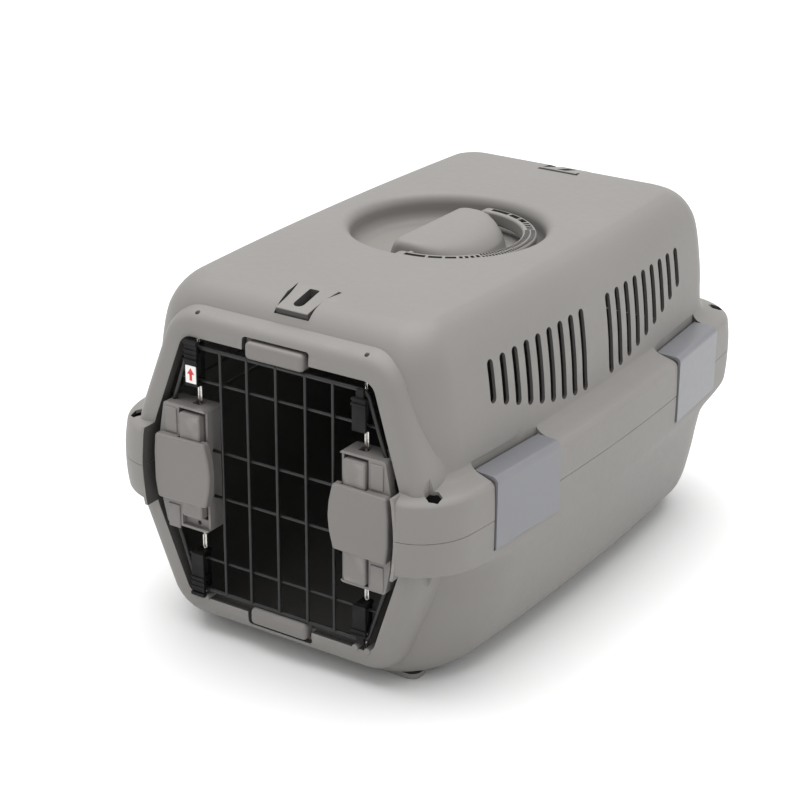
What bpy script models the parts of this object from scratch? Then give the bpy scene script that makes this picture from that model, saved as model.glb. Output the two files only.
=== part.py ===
"""Pet transport carrier: two moulded shells, four side clips, a folding handle and a wire door with four bolts.

Frame: +Z up, the door faces -Y, +X is the carrier's left side seen from inside; the origin is at the bottom centre.
Heights written as "above the seam" are measured from the joint between the two shells.
"""
import math

import bmesh
import bpy
from mathutils import Matrix, Vector

MM = 0.001
COLLECTION = "pet_carrier"

# Driving dimensions
LENGTH = 560 * MM
WIDTH = 367 * MM
SEAM = 156 * MM
SHEET = 2.8 * MM
GAP = 0.3 * MM
HALF_SEAM_GAP = 0.15 * MM
BOW = 0.095                      # how much narrower the plan is at its ends than at its middle

# Door opening: corners to the right of the middle, as half width and height above the seam
OPENING_TOP = (94 * MM, 120 * MM)
OPENING_WAIST = (124 * MM, 34 * MM)
OPENING_MIDDLE = 127 * MM
FACE_Y = -267 * MM               # front of the collar at the seam's height
FACE_SWEEP = 6 * MM              # how far it sweeps back at the top and bottom of the opening
BAND_Y = -LENGTH / 2             # front of the flange band

# Door
GRILLE_Y = -258.7 * MM
FRAME_INSET = 8.5 * MM
FRAME_WIRE = 2.0 * MM
GRILLE_WIRE = 1.4 * MM
WIRE_ROWS = (82 * MM, 21 * MM)
WIRE_COLUMNS = (0, 29 * MM, 56 * MM)
BOLT_X = 83.5 * MM
ROD_Y = -252.5 * MM
ROD_RADIUS = 1.6 * MM
ROD_TIP = 135 * MM
ROD_TAIL = 20 * MM
PIN_HOLE_RADIUS = 2.1 * MM
PIN_HOLE_HEIGHTS = (110 * MM, 145 * MM)

# Handle
HANDLE_AXIS_Z = SEAM + 149.7 * MM
HANDLE_OUTER = 79 * MM
HANDLE_ARM = 12 * MM
HANDLE_THICKNESS = 12 * MM
GRIP_WIDENING = 0.12
PIVOT_RADIUS = 4 * MM

# Round bowl in the roof
BOWL_RADIUS = 97 * MM
BOWL_FLOOR = 137 * MM            # above the seam
ROOF = 162.5 * MM                # above the seam

SKID_Y = 217 * MM                # middle of each foot skid

# Side clips
CLIP_Y = 157 * MM
CLIP_WIDTH = 92 * MM
CLIP_TURN = math.radians(4)      # the flange's edge runs inward by this much where the clips sit
CLIP_AXIS_U = -22.5 * MM
CLIP_AXIS_W = 36 * MM

# Plan of the shells: height above (or below) the seam, inset at the ends, inset at the sides, corner radius
TOP_LEVELS = (
    (0, 0, 0, 45), (4, 0, 0, 45), (29, 0.5, 0.8, 50), (33.5, 4, 4, 52), (36, 9, 12, 50),
    (39, 14.5, 21, 50), (45, 17.5, 26, 50), (81, 22, 29.5, 44), (116, 28, 34.5, 38), (132, 32.5, 39, 34),
    (146, 40.5, 47, 30), (155, 51, 56, 26), (160, 63, 65, 22),
)
BOTTOM_LEVELS = (
    (0, 0, 0, 45), (-4, 0, 0, 45), (-29, 0.3, 0.3, 50), (-33.5, 3, 1, 60), (-36, 9, 1.6, 74),
    (-39, 14.5, 2.4, 88), (-46, 17.5, 3.8, 96), (-60, 19, 6, 98), (-80, 21, 9.5, 95), (-100, 23.5, 14.5, 89),
    (-118, 26.5, 20.5, 80), (-132, 30, 28, 70), (-142, 35.5, 38, 58), (-149, 43, 51, 46), (-152, 50, 63, 38),
)
COLLAR_PROFILE = (
    # distance outside the opening's edge, distance behind the collar's face
    (-1, 24), (-1, 2), (1, 0.3), (4, 0), (11, 0), (15, 1.8), (18.5, 5.5), (21, 11), (22.4, 18), (23, 45),
)

COLOURS = {
    # name: (red, green, blue), roughness, metallic
    "shell_grey": ((0.42, 0.41, 0.39), 0.5, 0.0),
    "latch_grey": ((0.36, 0.35, 0.33), 0.45, 0.0),
    "clip_grey": ((0.30, 0.31, 0.34), 0.35, 0.0),
    "grille_black": ((0.02, 0.02, 0.02), 0.45, 0.0),
    "guide_black": ((0.03, 0.028, 0.03), 0.4, 0.0),
    "rod_steel": ((0.7, 0.69, 0.66), 0.25, 1.0),
    "label_white": ((0.8, 0.78, 0.76), 0.5, 0.0),
}


# ---------------------------------------------------------------- scene, materials and objects

def clear_scene():
    for old in list(bpy.data.objects):
        bpy.data.objects.remove(old, do_unlink=True)
    for old in list(bpy.data.collections):
        bpy.data.collections.remove(old)


def make_collection(name):
    collection = bpy.data.collections.new(name)
    bpy.context.scene.collection.children.link(collection)
    return collection


def make_material(name):
    colour, roughness, metallic = COLOURS[name]
    material = bpy.data.materials.new(name)
    material.use_nodes = True
    shader = material.node_tree.nodes["Principled BSDF"]
    shader.inputs["Base Color"].default_value = (*colour, 1)
    shader.inputs["Roughness"].default_value = roughness
    shader.inputs["Metallic"].default_value = metallic
    material.diffuse_color = (*colour, 1)
    return material


def add_object(name, bm, material_name, collection=None, place=None, parent=None):
    """A new object from a bmesh whose vertices are in the object's own frame; place is its world matrix."""
    mesh = bpy.data.meshes.new(name)
    bm.normal_update()
    bm.to_mesh(mesh)
    bm.free()
    made = bpy.data.objects.new(name, mesh)
    (collection or PARTS).objects.link(made)
    if material_name:
        mesh.materials.append(MATERIALS[material_name])
    if place is not None:
        made.matrix_world = place
    if parent is not None:
        made.parent = parent
        made.matrix_parent_inverse = parent.matrix_world.inverted()
    return made


def make_cutter(name, bm):
    made = add_object(name, bm, None, CUTTERS)
    made.hide_render = True
    made.display_type = "WIRE"
    return made


def boolean(target, operand, operation="DIFFERENCE", use_self=False):
    modifier = target.modifiers.new(operand.name, "BOOLEAN")
    modifier.operation = operation
    modifier.object = operand
    modifier.solver = "EXACT"
    modifier.use_self = use_self


def solidify(target, thickness=SHEET):
    modifier = target.modifiers.new("sheet", "SOLIDIFY")
    modifier.thickness = thickness
    modifier.offset = -1
    modifier.use_even_offset = True
    modifier.thickness_clamp = 0


def weld(target):
    modifier = target.modifiers.new("slivers", "WELD")
    modifier.merge_threshold = 0.02 * MM


def make_empty(name, location, turn=0.0):
    made = bpy.data.objects.new(name, None)
    PARTS.objects.link(made)
    made.empty_display_size = 0.02
    made.matrix_world = Matrix.Translation(location) @ Matrix.Rotation(turn, 4, "Z")
    return made


# ---------------------------------------------------------------- outlines

def intersect(a, b, c, d):
    """Where the line through a and b meets the line through c and d."""
    u, v = b - a, d - c
    return a + u * ((c - a).cross(v) / u.cross(v))


def offset_polygon(corners, distance):
    """A convex counter-clockwise polygon moved outward by a distance."""
    points = [Vector(p) for p in corners]
    moved = []
    for i, point in enumerate(points):
        before, after = points[i - 1], points[(i + 1) % len(points)]
        n1 = Vector(((point - before).y, -(point - before).x)).normalized() * distance
        n2 = Vector(((after - point).y, -(after - point).x)).normalized() * distance
        moved.append(intersect(before + n1, point + n1, point + n2, after + n2))
    return moved


def rounded_polygon(corners, radii, steps):
    """A convex counter-clockwise polygon with each corner turned into an arc of its own radius."""
    points = [Vector(p) for p in corners]
    outline = []
    for i, point in enumerate(points):
        back = (points[i - 1] - point).normalized()
        ahead = (points[(i + 1) % len(points)] - point).normalized()
        half = back.angle(ahead) / 2
        radius = radii[i]
        centre = point + (back + ahead).normalized() * (radius / math.sin(half))
        start = point + back * (radius / math.tan(half)) - centre
        sweep = math.pi - 2 * half
        for step in range(steps[i] + 1):
            angle = sweep * step / steps[i]
            c, s = math.cos(angle), math.sin(angle)
            outline.append(centre + Vector((start.x * c - start.y * s, start.x * s + start.y * c)))
    return outline


def plan_outline(half_length, half_width, radius, side_steps=6, end_steps=4, corner_steps=5):
    """Counter-clockwise plan of a shell: a rounded rectangle whose long sides bow outward at the middle."""
    points = []
    for corner, (sx, sy) in enumerate(((1, 1), (-1, 1), (-1, -1), (1, -1))):
        centre = Vector((sx * (half_width - radius), sy * (half_length - radius)))
        for step in range(corner_steps + 1):
            angle = (corner + step / corner_steps) * math.pi / 2
            points.append(centre + radius * Vector((math.cos(angle), math.sin(angle))))
        steps = end_steps if corner % 2 == 0 else side_steps
        end = points[-1]
        following = Vector((-end.x, end.y)) if corner % 2 == 0 else Vector((end.x, -end.y))
        points += [end.lerp(following, step / steps) for step in range(1, steps)]
    return [Vector((p.x * (1 - BOW * (p.y / (LENGTH / 2)) ** 2), p.y)) for p in points]


OPENING = [
    (OPENING_TOP[0], -OPENING_TOP[1]), (OPENING_WAIST[0], -OPENING_WAIST[1]), (OPENING_MIDDLE, 0),
    OPENING_WAIST, OPENING_TOP,
    (-OPENING_TOP[0], OPENING_TOP[1]), (-OPENING_WAIST[0], OPENING_WAIST[1]), (-OPENING_MIDDLE, 0),
    (-OPENING_WAIST[0], -OPENING_WAIST[1]), (-OPENING_TOP[0], -OPENING_TOP[1]),
]
OPENING_RADII = [r * MM for r in (13, 70, 150, 70, 13, 13, 70, 150, 70, 13)]
OPENING_STEPS = (5, 3, 2, 3, 5, 5, 3, 2, 3, 5)
CUT_STEPS = (6, 4, 3, 4, 6, 6, 4, 3, 4, 6)


def opening_outline(distance, steps=OPENING_STEPS):
    """The door opening's outline, as (x, height above the seam), moved outward by a distance."""
    return rounded_polygon(offset_polygon(OPENING, distance), [r + distance for r in OPENING_RADII], steps)


def face_y(height):
    """The collar's face sweeps back towards the top and the bottom of the opening."""
    return FACE_Y + FACE_SWEEP * (height / OPENING_TOP[1]) ** 2


# ---------------------------------------------------------------- solids from outlines

def add_loft(bm, rings, cap_start=True, cap_end=True):
    """A surface through rings of equal point counts, each counter-clockwise seen from the last one."""
    rows = [[bm.verts.new(p) for p in ring] for ring in rings]
    count = len(rows[0])
    for lower, upper in zip(rows, rows[1:]):
        for i in range(count):
            j = (i + 1) % count
            bm.faces.new((lower[i], lower[j], upper[j], upper[i]))
    if cap_start:
        bm.faces.new(list(reversed(rows[0])))
    if cap_end:
        bm.faces.new(rows[-1])
    return bm


def loft(rings, cap_start=True, cap_end=True):
    return add_loft(bmesh.new(), rings, cap_start, cap_end)


def prism_y(outline, front, back):
    """An (x, z) outline run along Y from front to back; the outline is counter-clockwise seen from -Y."""
    return loft([[Vector((p.x, front, p.y)) for p in outline], [Vector((p.x, back, p.y)) for p in outline]][::-1])


def prism_z(outline, bottom, top):
    """An (x, y) outline run along Z."""
    return loft([[Vector((p.x, p.y, bottom)) for p in outline], [Vector((p.x, p.y, top)) for p in outline]])


def add_box(bm, low, high):
    size = Vector(high) - Vector(low)
    middle = (Vector(high) + Vector(low)) / 2
    bmesh.ops.create_cube(bm, size=1, matrix=Matrix.Translation(middle) @ Matrix.Diagonal((*size, 1)))
    return bm


def box(low, high):
    return add_box(bmesh.new(), low, high)


def add_cylinder(bm, start, end, radius, sides=10, turn=0.0):
    """A closed cylinder between two points."""
    start, end = Vector(start), Vector(end)
    axis = end - start
    spin = axis.to_track_quat("Z", "Y").to_matrix().to_4x4()
    bmesh.ops.create_cone(
        bm, cap_ends=True, segments=sides, radius1=radius, radius2=radius, depth=axis.length,
        matrix=Matrix.Translation((start + end) / 2) @ spin @ Matrix.Rotation(turn, 4, "Z"),
    )
    return bm


def cylinder(start, end, radius, sides=10, turn=0.0):
    return add_cylinder(bmesh.new(), start, end, radius, sides, turn)


def mirrored(side, low, high):
    """The corners of a box given for the +X side, on either side."""
    xs = sorted((side * low[0], side * high[0]))
    return (xs[0], *low[1:]), (xs[1], *high[1:])


# ---------------------------------------------------------------- shells

def shell_rings(levels, inset=0.0):
    rings = []
    for height, end_inset, side_inset, radius in levels:
        outline = plan_outline(
            LENGTH / 2 - end_inset * MM - inset, WIDTH / 2 - side_inset * MM - inset, radius * MM - inset)
        rings.append([Vector((p.x, p.y, SEAM + height * MM)) for p in outline])
    return rings


def bowl_rings(last_ring):
    """Rings that run from the roof's edge to the round bowl and down to its floor."""
    angles = [math.atan2(p.y, p.x) for p in last_ring]
    profile = [(BOWL_RADIUS, ROOF)]
    lip, wall = 7 * MM, 9 * MM
    for step in (1, 2):
        a = step / 2 * math.pi / 2
        profile.append((BOWL_RADIUS - lip * math.sin(a), ROOF - lip * (1 - math.cos(a))))
    for step in (0, 1, 2):
        a = step / 2 * math.pi / 2
        profile.append((BOWL_RADIUS - lip - wall * (1 - math.cos(a)), BOWL_FLOOR + wall * (1 - math.sin(a))))
    rings = [[Vector((r * math.cos(a), r * math.sin(a), SEAM + z)) for a in angles] for r, z in profile]
    between = [p.lerp(q, 0.5) for p, q in zip(last_ring, rings[0])]
    for p in between:
        p.z = SEAM + ROOF - 0.6 * MM
    return [between] + rings


def collar(name, keep_top):
    """Half of the rounded collar around the door opening, as a bent sheet that stops at the shell's inner side."""
    rings = [
        [Vector((p.x, face_y(p.y) + back * MM, SEAM + p.y)) for p in opening_outline(distance * MM)]
        for distance, back in COLLAR_PROFILE
    ]
    made = make_cutter(name, loft(rings[::-1], cap_start=False, cap_end=False))
    solidify(made)
    levels = TOP_LEVELS if keep_top else BOTTOM_LEVELS
    inside = shell_rings(levels, SHEET)
    for ring in inside:
        for p in ring:
            p.z += (-SHEET if keep_top else SHEET) if abs(p.z - SEAM) > 30 * MM else 0
    for p in inside[0]:
        p.z += -5 * MM if keep_top else 5 * MM
    boolean(made, make_cutter(name + "_room", loft(inside if keep_top else inside[::-1])))
    far = 0.4
    side = (-far, SEAM + HALF_SEAM_GAP) if keep_top else (SEAM - HALF_SEAM_GAP, far)
    boolean(made, make_cutter(name + "_half", box((-far, -far, side[0]), (far, far, side[1]))))
    return made


def band_return(name, side, low, high):
    """The wall beside the door where the flange band turns back towards the door."""
    heights = [low + (high - low) * i / 4 for i in range(5)]
    right = [p for p in opening_outline(0) if p.x > 0]

    def edge(height):
        for p, q in zip(right, right[1:]):
            if p.y <= height <= q.y:
                return p.x + (q.x - p.x) * (height - p.y) / (q.y - p.y)
        return OPENING_WAIST[0]

    rings = [
        [Vector((side * (edge(h) + out * MM), y, SEAM + h)) for h in heights]
        for out, y in ((-1, BAND_Y + GAP), (-1, -244 * MM), (SHEET / MM, -244 * MM), (SHEET / MM, BAND_Y + GAP))
    ]
    loops = [[ring[i] for ring in rings] for i in range(len(heights))]
    return make_cutter(name, loft(loops if side < 0 else [loop[::-1] for loop in loops]))


def clip_frame(sx, sy):
    """World matrix of a clip's own frame: u outward from the flange, v along it, w up from the seam."""
    y = sy * CLIP_Y
    x = sx * WIDTH / 2 * (1 - BOW * (y / (LENGTH / 2)) ** 2)
    u = Matrix.Rotation(sx * sy * CLIP_TURN, 3, "Z") @ Vector((sx, 0, 0))
    v = Vector((0, 0, 1)).cross(u)
    frame = Matrix((u, v, Vector((0, 0, 1)))).transposed().to_4x4()
    frame.translation = Vector((x, y, SEAM))
    return frame


CLIP_SEATS = [(sx, sy) for sx in (-1, 1) for sy in (-1, 1)]


def clip_group(name, outline, half):
    """The same bar at all four clips: an outline in their (u, w) plane, run along v from half to -half."""
    bars = bmesh.new()
    for sx, sy in CLIP_SEATS:
        frame = clip_frame(sx, sy)
        rings = [[frame @ Vector((u * MM, v, w * MM)) for u, w in outline] for v in (half, -half)]
        add_loft(bars, rings)
    return make_cutter(name, bars)


def clip_seats(shell, top):
    """Backing behind each clip, then the pocket that the clip lies in."""
    half = CLIP_WIDTH / 2
    seam = HALF_SEAM_GAP / MM
    if top:
        pad = [(-8, seam), (-2.1, seam), (-2.1, 28), (-4.8, 31.8), (-12, 34.6), (-22, 37.4), (-25.2, 41),
               (-27.6, 43.5), (-29.5, 42), (-29.5, 31), (-8, 29)]
        pocket = [(8, -1), (8, 45), (-25.5, 45), (-25.5, 34), (-2.3, 34), (-2.3, -1)]
        boolean(shell, clip_group("clip_pads_top", pad, half + 5 * MM), "UNION")
        boolean(shell, clip_group("clip_pockets_top", pocket, half + 1 * MM))
        bores = bmesh.new()
        for sx, sy in CLIP_SEATS:
            frame = clip_frame(sx, sy)
            ends = [frame @ Vector((CLIP_AXIS_U, v, CLIP_AXIS_W)) for v in (-half - 3.4 * MM, half + 3.4 * MM)]
            add_cylinder(bores, *ends, 2.4 * MM)
        boolean(shell, make_cutter("clip_bores", bores))
        return
    pad = [(-8, -seam), (-8, -31), (-4.8, -31), (-2.1, -28), (-2.1, -seam)]
    pocket = [(8, 1), (-2.3, 1), (-2.3, -27), (8, -27)]
    groove = [(0, -20.4), (-4.6, -20.4), (-4.6, -25.2), (0, -25.2)]
    boolean(shell, clip_group("clip_pads_bottom", pad, half + 5 * MM), "UNION")
    boolean(shell, clip_group("clip_pockets_bottom", pocket, half + 1 * MM))
    boolean(shell, clip_group("clip_grooves", groove, half + 0.5 * MM))


def lug_holes(low, high):
    """Six-sided bolt holes through the front lugs and, mirrored, the rear ones."""
    bm = bmesh.new()
    for sx in (-1, 1):
        for sy in (-1, 1):
            add_cylinder(bm, (sx * 148.5 * MM, sy * 256 * MM, low), (sx * 148.5 * MM, sy * 256 * MM, high),
                         7.3 * MM, sides=6)
    return bm


def vent_cutters():
    """Two groups of nine upright slots through both side walls, and a short row through the rear wall."""
    bm = bmesh.new()
    width, pitch, first = 7.5 * MM, 17.8 * MM, 24 * MM
    for group in (-1, 1):
        for i in range(9):
            y = group * (first + i * pitch)
            top = 120 * MM
            bottom = (47 + 36 * (i / 8) ** 1.6) * MM
            add_slot(bm, Vector((0, y)), bottom, top, width, 0.2, along_x=True)
    for i in range(-3, 4):
        bottom = (74 + 1.2 * i * i) * MM
        add_slot(bm, Vector((i * 17.8 * MM, 0.25)), bottom, 115 * MM, width, 0.05, along_x=False)
    return bm


def add_slot(bm, middle, bottom, top, width, reach, along_x):
    """An upright slot with round ends, cut along X or along Y."""
    steps = 3
    ring = []
    for z, start in ((top - width / 2, 0), (bottom + width / 2, math.pi)):
        for step in range(steps + 1):
            a = start + math.pi * step / steps
            ring.append((width / 2 * math.cos(a), SEAM + z + width / 2 * math.sin(a)))
    if along_x:
        add_loft(bm, [[Vector((end, middle.y + s, z)) for s, z in ring] for end in (-reach, reach)])
    else:
        add_loft(bm, [[Vector((middle.x - s, middle.y + end, z)) for s, z in ring] for end in (-reach, reach)])


def loaf(scale, base, top):
    """The raised loaf in the bowl: a D in plan, with a spine that runs on to the bowl's wall on the -X side."""
    rings = []
    for height, right, left, half in ((0, 48, 27, 61), (0.45, 43, 25, 60.5), (0.8, 31, 22, 59), (0.95, 18, 19, 55),
                                      (1, 5, 15, 49)):
        ring = []
        right, left, half = (right - scale) * MM, (left - scale) * MM, (half - scale) * MM
        for step in range(11):
            a = -math.pi / 2 + math.pi * step / 10
            ring.append(Vector((-4 * MM + (right + 4 * MM) * math.cos(a), half * math.sin(a))))
        ring += [Vector((-left, half * 0.96)), Vector((-left, 0)), Vector((-left, -half * 0.96))]
        z = SEAM + base + (top - base) * height
        rings.append([Vector((p.x, p.y, z)) for p in ring])
    return loft(rings)


def anchor_frame(sy):
    """World matrix of a strap anchor: its x across, y along the slope towards the middle, z out of the roof."""
    tilt = math.radians(13)
    turn = Matrix.Rotation(0 if sy < 0 else math.pi, 4, "Z")
    place = Matrix.Translation((0, sy * 217.5 * MM, SEAM + 155 * MM))
    return place @ turn @ Matrix.Rotation(tilt, 4, "X")


def anchor_outline(margin):
    """Shield outline: wide at the back, narrower at the front, slightly waisted."""
    points = [(-16.5, -20), (16.5, -20), (19.5, 20), (-19.5, 20)]
    return rounded_polygon(offset_polygon([Vector(p) * MM for p in points], margin), [3 * MM + margin] * 4, (3,) * 4)


def build_top_shell():
    rings = shell_rings(TOP_LEVELS)
    for p in rings[0]:
        p.z = SEAM + HALF_SEAM_GAP
    shell = add_object("top_shell", loft(rings + bowl_rings(rings[-1]), cap_start=False), "shell_grey")
    solidify(shell)
    boolean(shell, OPENING_CUTS["rough"])
    boolean(shell, collar("collar_top", True), "UNION")
    for side in (-1, 1):
        boolean(shell, band_return(f"band_return_top_{side}", side, HALF_SEAM_GAP, 36 * MM), "UNION")
    boolean(shell, OPENING_CUTS["final"])
    clip_seats(shell, True)
    boolean(shell, make_cutter("lug_holes_top", lug_holes(SEAM + 20 * MM, SEAM + 60 * MM)))
    boolean(shell, make_cutter("vents", vent_cutters()))
    notch = rounded_polygon([(-33 * MM, 100 * MM), (33 * MM, 100 * MM), (33 * MM, 131.5 * MM), (-33 * MM, 131.5 * MM)],
                            [3 * MM] * 4, (3,) * 4)
    boolean(shell, make_cutter("notch_top", lifted(prism_y(notch, -0.3, -0.2535))))
    boolean(shell, make_cutter("loaf_solid", loaf(0, BOWL_FLOOR - 1.5 * MM, 161 * MM)), "UNION")
    boolean(shell, make_cutter("loaf_room", loaf(3, BOWL_FLOOR - 6 * MM, 158 * MM)))
    bores = bmesh.new()
    add_cylinder(bores, (0, -66 * MM, HANDLE_AXIS_Z), (0, 66 * MM, HANDLE_AXIS_Z), PIVOT_RADIUS + GAP, 12)
    boolean(shell, make_cutter("pivot_bores", bores))
    windows = bmesh.new()
    for sy in (-1, 1):
        before = len(windows.verts)
        add_prism(windows, anchor_outline(0.5 * MM), -12 * MM, 12 * MM)
        windows.verts.ensure_lookup_table()
        bmesh.ops.transform(windows, matrix=anchor_frame(sy), verts=windows.verts[before:])
    boolean(shell, make_cutter("anchor_windows", windows))
    boolean(shell, make_cutter("pin_holes_top", pin_holes(1)))
    weld(shell)


def pin_holes(sz):
    """Round holes for the two bolt pins, through the collar above (1) or below (-1) the door."""
    bm = bmesh.new()
    for side in (-1, 1):
        ends = [(side * BOLT_X, ROD_Y, SEAM + sz * height) for height in PIN_HOLE_HEIGHTS]
        add_cylinder(bm, *ends, PIN_HOLE_RADIUS)
    return bm


def add_prism(bm, outline, bottom, top):
    return add_loft(bm, [[Vector((p.x, p.y, z)) for p in outline] for z in (bottom, top)])


def lifted(bm):
    """Heights given above the seam become heights above the ground."""
    bmesh.ops.translate(bm, verts=bm.verts, vec=(0, 0, SEAM))
    return bm


def build_bottom_shell():
    rings = shell_rings(BOTTOM_LEVELS)
    for p in rings[0]:
        p.z = SEAM - HALF_SEAM_GAP
    shell = add_object("bottom_shell", loft(rings[::-1], cap_end=False), "shell_grey")
    solidify(shell)
    boolean(shell, OPENING_CUTS["rough"])
    boolean(shell, collar("collar_bottom", False), "UNION")
    for side in (-1, 1):
        boolean(shell, band_return(f"band_return_bottom_{side}", side, -36 * MM, -HALF_SEAM_GAP), "UNION")
    skids = bmesh.new()
    for sy in (-1, 1):
        outline = rounded_polygon([(-116 * MM, -11 * MM), (116 * MM, -11 * MM), (116 * MM, 11 * MM),
                                   (-116 * MM, 11 * MM)], [9 * MM] * 4, (4,) * 4)
        moved = [p + Vector((0, sy * SKID_Y)) for p in outline]
        add_prism(skids, moved, 0, 5.5 * MM)
    boolean(shell, make_cutter("skids", skids), "UNION")
    bumps = bmesh.new()
    for side in (-1, 1):
        for x in (77.5 * MM, 89.5 * MM):
            middle = SEAM - OPENING_TOP[1] + 0.5 * MM
            add_cylinder(bumps, (side * x, -262 * MM, middle), (side * x, -249 * MM, middle), 3 * MM)
    boolean(shell, OPENING_CUTS["final"])
    boolean(shell, make_cutter("bumps", bumps), "UNION")
    clip_seats(shell, False)
    boolean(shell, make_cutter("lug_holes_bottom", lug_holes(SEAM - 60 * MM, SEAM - 20 * MM)))
    notch = rounded_polygon([(-33 * MM, -131.5 * MM), (33 * MM, -131.5 * MM), (33 * MM, -100 * MM),
                             (-33 * MM, -100 * MM)], [3 * MM] * 4, (3,) * 4)
    boolean(shell, make_cutter("notch_bottom", lifted(prism_y(notch, -0.3, -0.2535))))
    boolean(shell, make_cutter("pin_holes_bottom", pin_holes(-1)))
    weld(shell)


def build_strap_anchor(name, sy):
    """A shield plate with a slot for the strap, and a wider skirt below the roof."""
    bm = prism_z(anchor_outline(0), -4 * MM, 3 * MM)
    anchor = add_object(name, bm, "shell_grey", place=anchor_frame(sy))
    slot = rounded_polygon([Vector((-4, -12)) * MM, Vector((4, -12)) * MM, Vector((4, 13)) * MM,
                            Vector((-4, 13)) * MM], [3.9 * MM] * 4, (3,) * 4)
    cutter = make_cutter(name + "_slot", prism_z(slot, -20 * MM, 20 * MM))
    cutter.matrix_world = anchor_frame(sy)
    boolean(anchor, cutter)


# ---------------------------------------------------------------- handle and clips

def build_handle():
    """Half ring folded onto the +X side, wider at its grip, with a round-ended arm and a stub pivot at each end."""
    middle = HANDLE_OUTER - HANDLE_ARM / 2
    count = 24
    half_arm, half_thick = HANDLE_ARM / 2, HANDLE_THICKNESS / 2
    section = rounded_polygon([(-half_arm, -half_thick), (half_arm, -half_thick), (half_arm, half_thick),
                               (-half_arm, half_thick)], [2.5 * MM] * 4, (2,) * 4)
    rings = []
    for i in range(count + 1):
        a = -math.pi / 2 + math.pi * i / count
        grip = GRIP_WIDENING * math.cos(a) ** 4
        radii = [middle + p.x + (p.x - half_arm) * grip for p in section]
        rings.append([Vector((r * math.cos(a), r * math.sin(a), p.y)) for r, p in zip(radii, section)])
    first, last = rings[0], rings[-1]
    for along, thin in ((-5 * MM, 0.8), (-8.5 * MM, 0.35)):
        rings.insert(0, [Vector((along, p.y, p.z * thin)) for p in first])
        rings.append([Vector((along, p.y, p.z * thin)) for p in last])
    pivot = make_empty("handle_pivot", (0, 0, HANDLE_AXIS_Z))
    handle = add_object("carry_handle", loft(rings), "shell_grey",
                        place=Matrix.Translation((0, 0, HANDLE_AXIS_Z)), parent=pivot)
    stubs = bmesh.new()
    for sy in (-1, 1):
        add_cylinder(stubs, (0, sy * 57 * MM, HANDLE_AXIS_Z), (0, sy * 72 * MM, HANDLE_AXIS_Z), PIVOT_RADIUS, 12)
    boolean(handle, make_cutter("handle_stubs", stubs), "UNION")


def build_clip(name, sx, sy):
    """A bent plate: a lip that lies on the flange, an outer plate, a hook rib and two stub pivots at the lip."""
    frame = clip_frame(sx, sy)
    origin = Matrix.Translation(Vector((CLIP_AXIS_U, 0, CLIP_AXIS_W)))
    outline = [(0.9, -26), (0.9, 35.5), (-0.9, 37.3), (-22.5, 38), (-24.3, 36.2), (-22.5, 34.4), (-1.9, 34.4),
               (-1.9, -20.8), (-3.6, -22.6), (-1.9, -24.6), (-1.9, -26)]
    rings = []
    for v in (-CLIP_WIDTH / 2, CLIP_WIDTH / 2):
        rings.append([Vector((u * MM - CLIP_AXIS_U, v, w * MM - CLIP_AXIS_W)) for u, w in outline])
    empty = make_empty(name + "_pivot", frame @ Vector((CLIP_AXIS_U, 0, CLIP_AXIS_W)))
    clip = add_object(name, loft(rings[::-1]), "clip_grey", place=frame @ origin, parent=empty)
    stubs = bmesh.new()
    half = CLIP_WIDTH / 2
    for v in (-1, 1):
        ends = [frame @ Vector((CLIP_AXIS_U, v * w, CLIP_AXIS_W)) for w in (half - 3 * MM, half + 3 * MM)]
        add_cylinder(stubs, *ends, 1.7 * MM)
    boolean(clip, make_cutter(name + "_stubs", stubs), "UNION")


# ---------------------------------------------------------------- door

def tube(name, points, radius, cyclic=False, sides=4):
    """A round wire as a mesh in the cutters' collection, made from a poly spline."""
    curve = bpy.data.curves.new(name, "CURVE")
    curve.dimensions = "3D"
    curve.bevel_depth = radius
    curve.bevel_resolution = sides // 2
    curve.use_fill_caps = True
    spline = curve.splines.new("POLY")
    spline.points.add(len(points) - 1)
    for target, point in zip(spline.points, points):
        target.co = (*point, 1)
    spline.use_cyclic_u = cyclic
    source = bpy.data.objects.new(name, curve)
    CUTTERS.objects.link(source)
    bpy.context.view_layer.update()
    mesh = bpy.data.meshes.new_from_object(source.evaluated_get(bpy.context.evaluated_depsgraph_get()))
    bm = bmesh.new()
    bm.from_mesh(mesh)
    bmesh.ops.remove_doubles(bm, verts=bm.verts, dist=1e-6)
    bmesh.ops.recalc_face_normals(bm, faces=bm.faces)
    bpy.data.objects.remove(source, do_unlink=True)
    bpy.data.meshes.remove(mesh)
    return bm


def frame_points():
    outline = rounded_polygon(offset_polygon(OPENING, -FRAME_INSET), [9 * MM, 60 * MM, 120 * MM, 60 * MM, 9 * MM] * 2,
                              (4, 2, 2, 2, 4, 4, 2, 2, 2, 4))
    return [Vector((p.x, GRILLE_Y, SEAM + p.y)) for p in outline]


def frame_half_width(height):
    points = offset_polygon(OPENING, -FRAME_INSET)
    right = sorted((p for p in points if p.x > 0), key=lambda p: p.y)
    for p, q in zip(right, right[1:]):
        if p.y <= height <= q.y:
            return p.x + (q.x - p.x) * (height - p.y) / (q.y - p.y)
    return right[0].x


def add_grille_wires(bm, radius):
    """Four rows behind the frame's middle and five columns in front of them."""
    row_y, column_y = GRILLE_Y + 1.2 * MM, GRILLE_Y - 1.2 * MM
    for height in WIRE_ROWS:
        for sign in (-1, 1):
            half = frame_half_width(height)
            z = SEAM + sign * height
            add_cylinder(bm, (-half, row_y, z), (half, row_y, z), radius, 8, math.pi / 8)
    top = OPENING_TOP[1] - FRAME_INSET
    for column in WIRE_COLUMNS:
        for x in {-column, column}:
            add_cylinder(bm, (x, column_y, SEAM - top), (x, column_y, SEAM + top), radius, 8, math.pi / 8)


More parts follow.
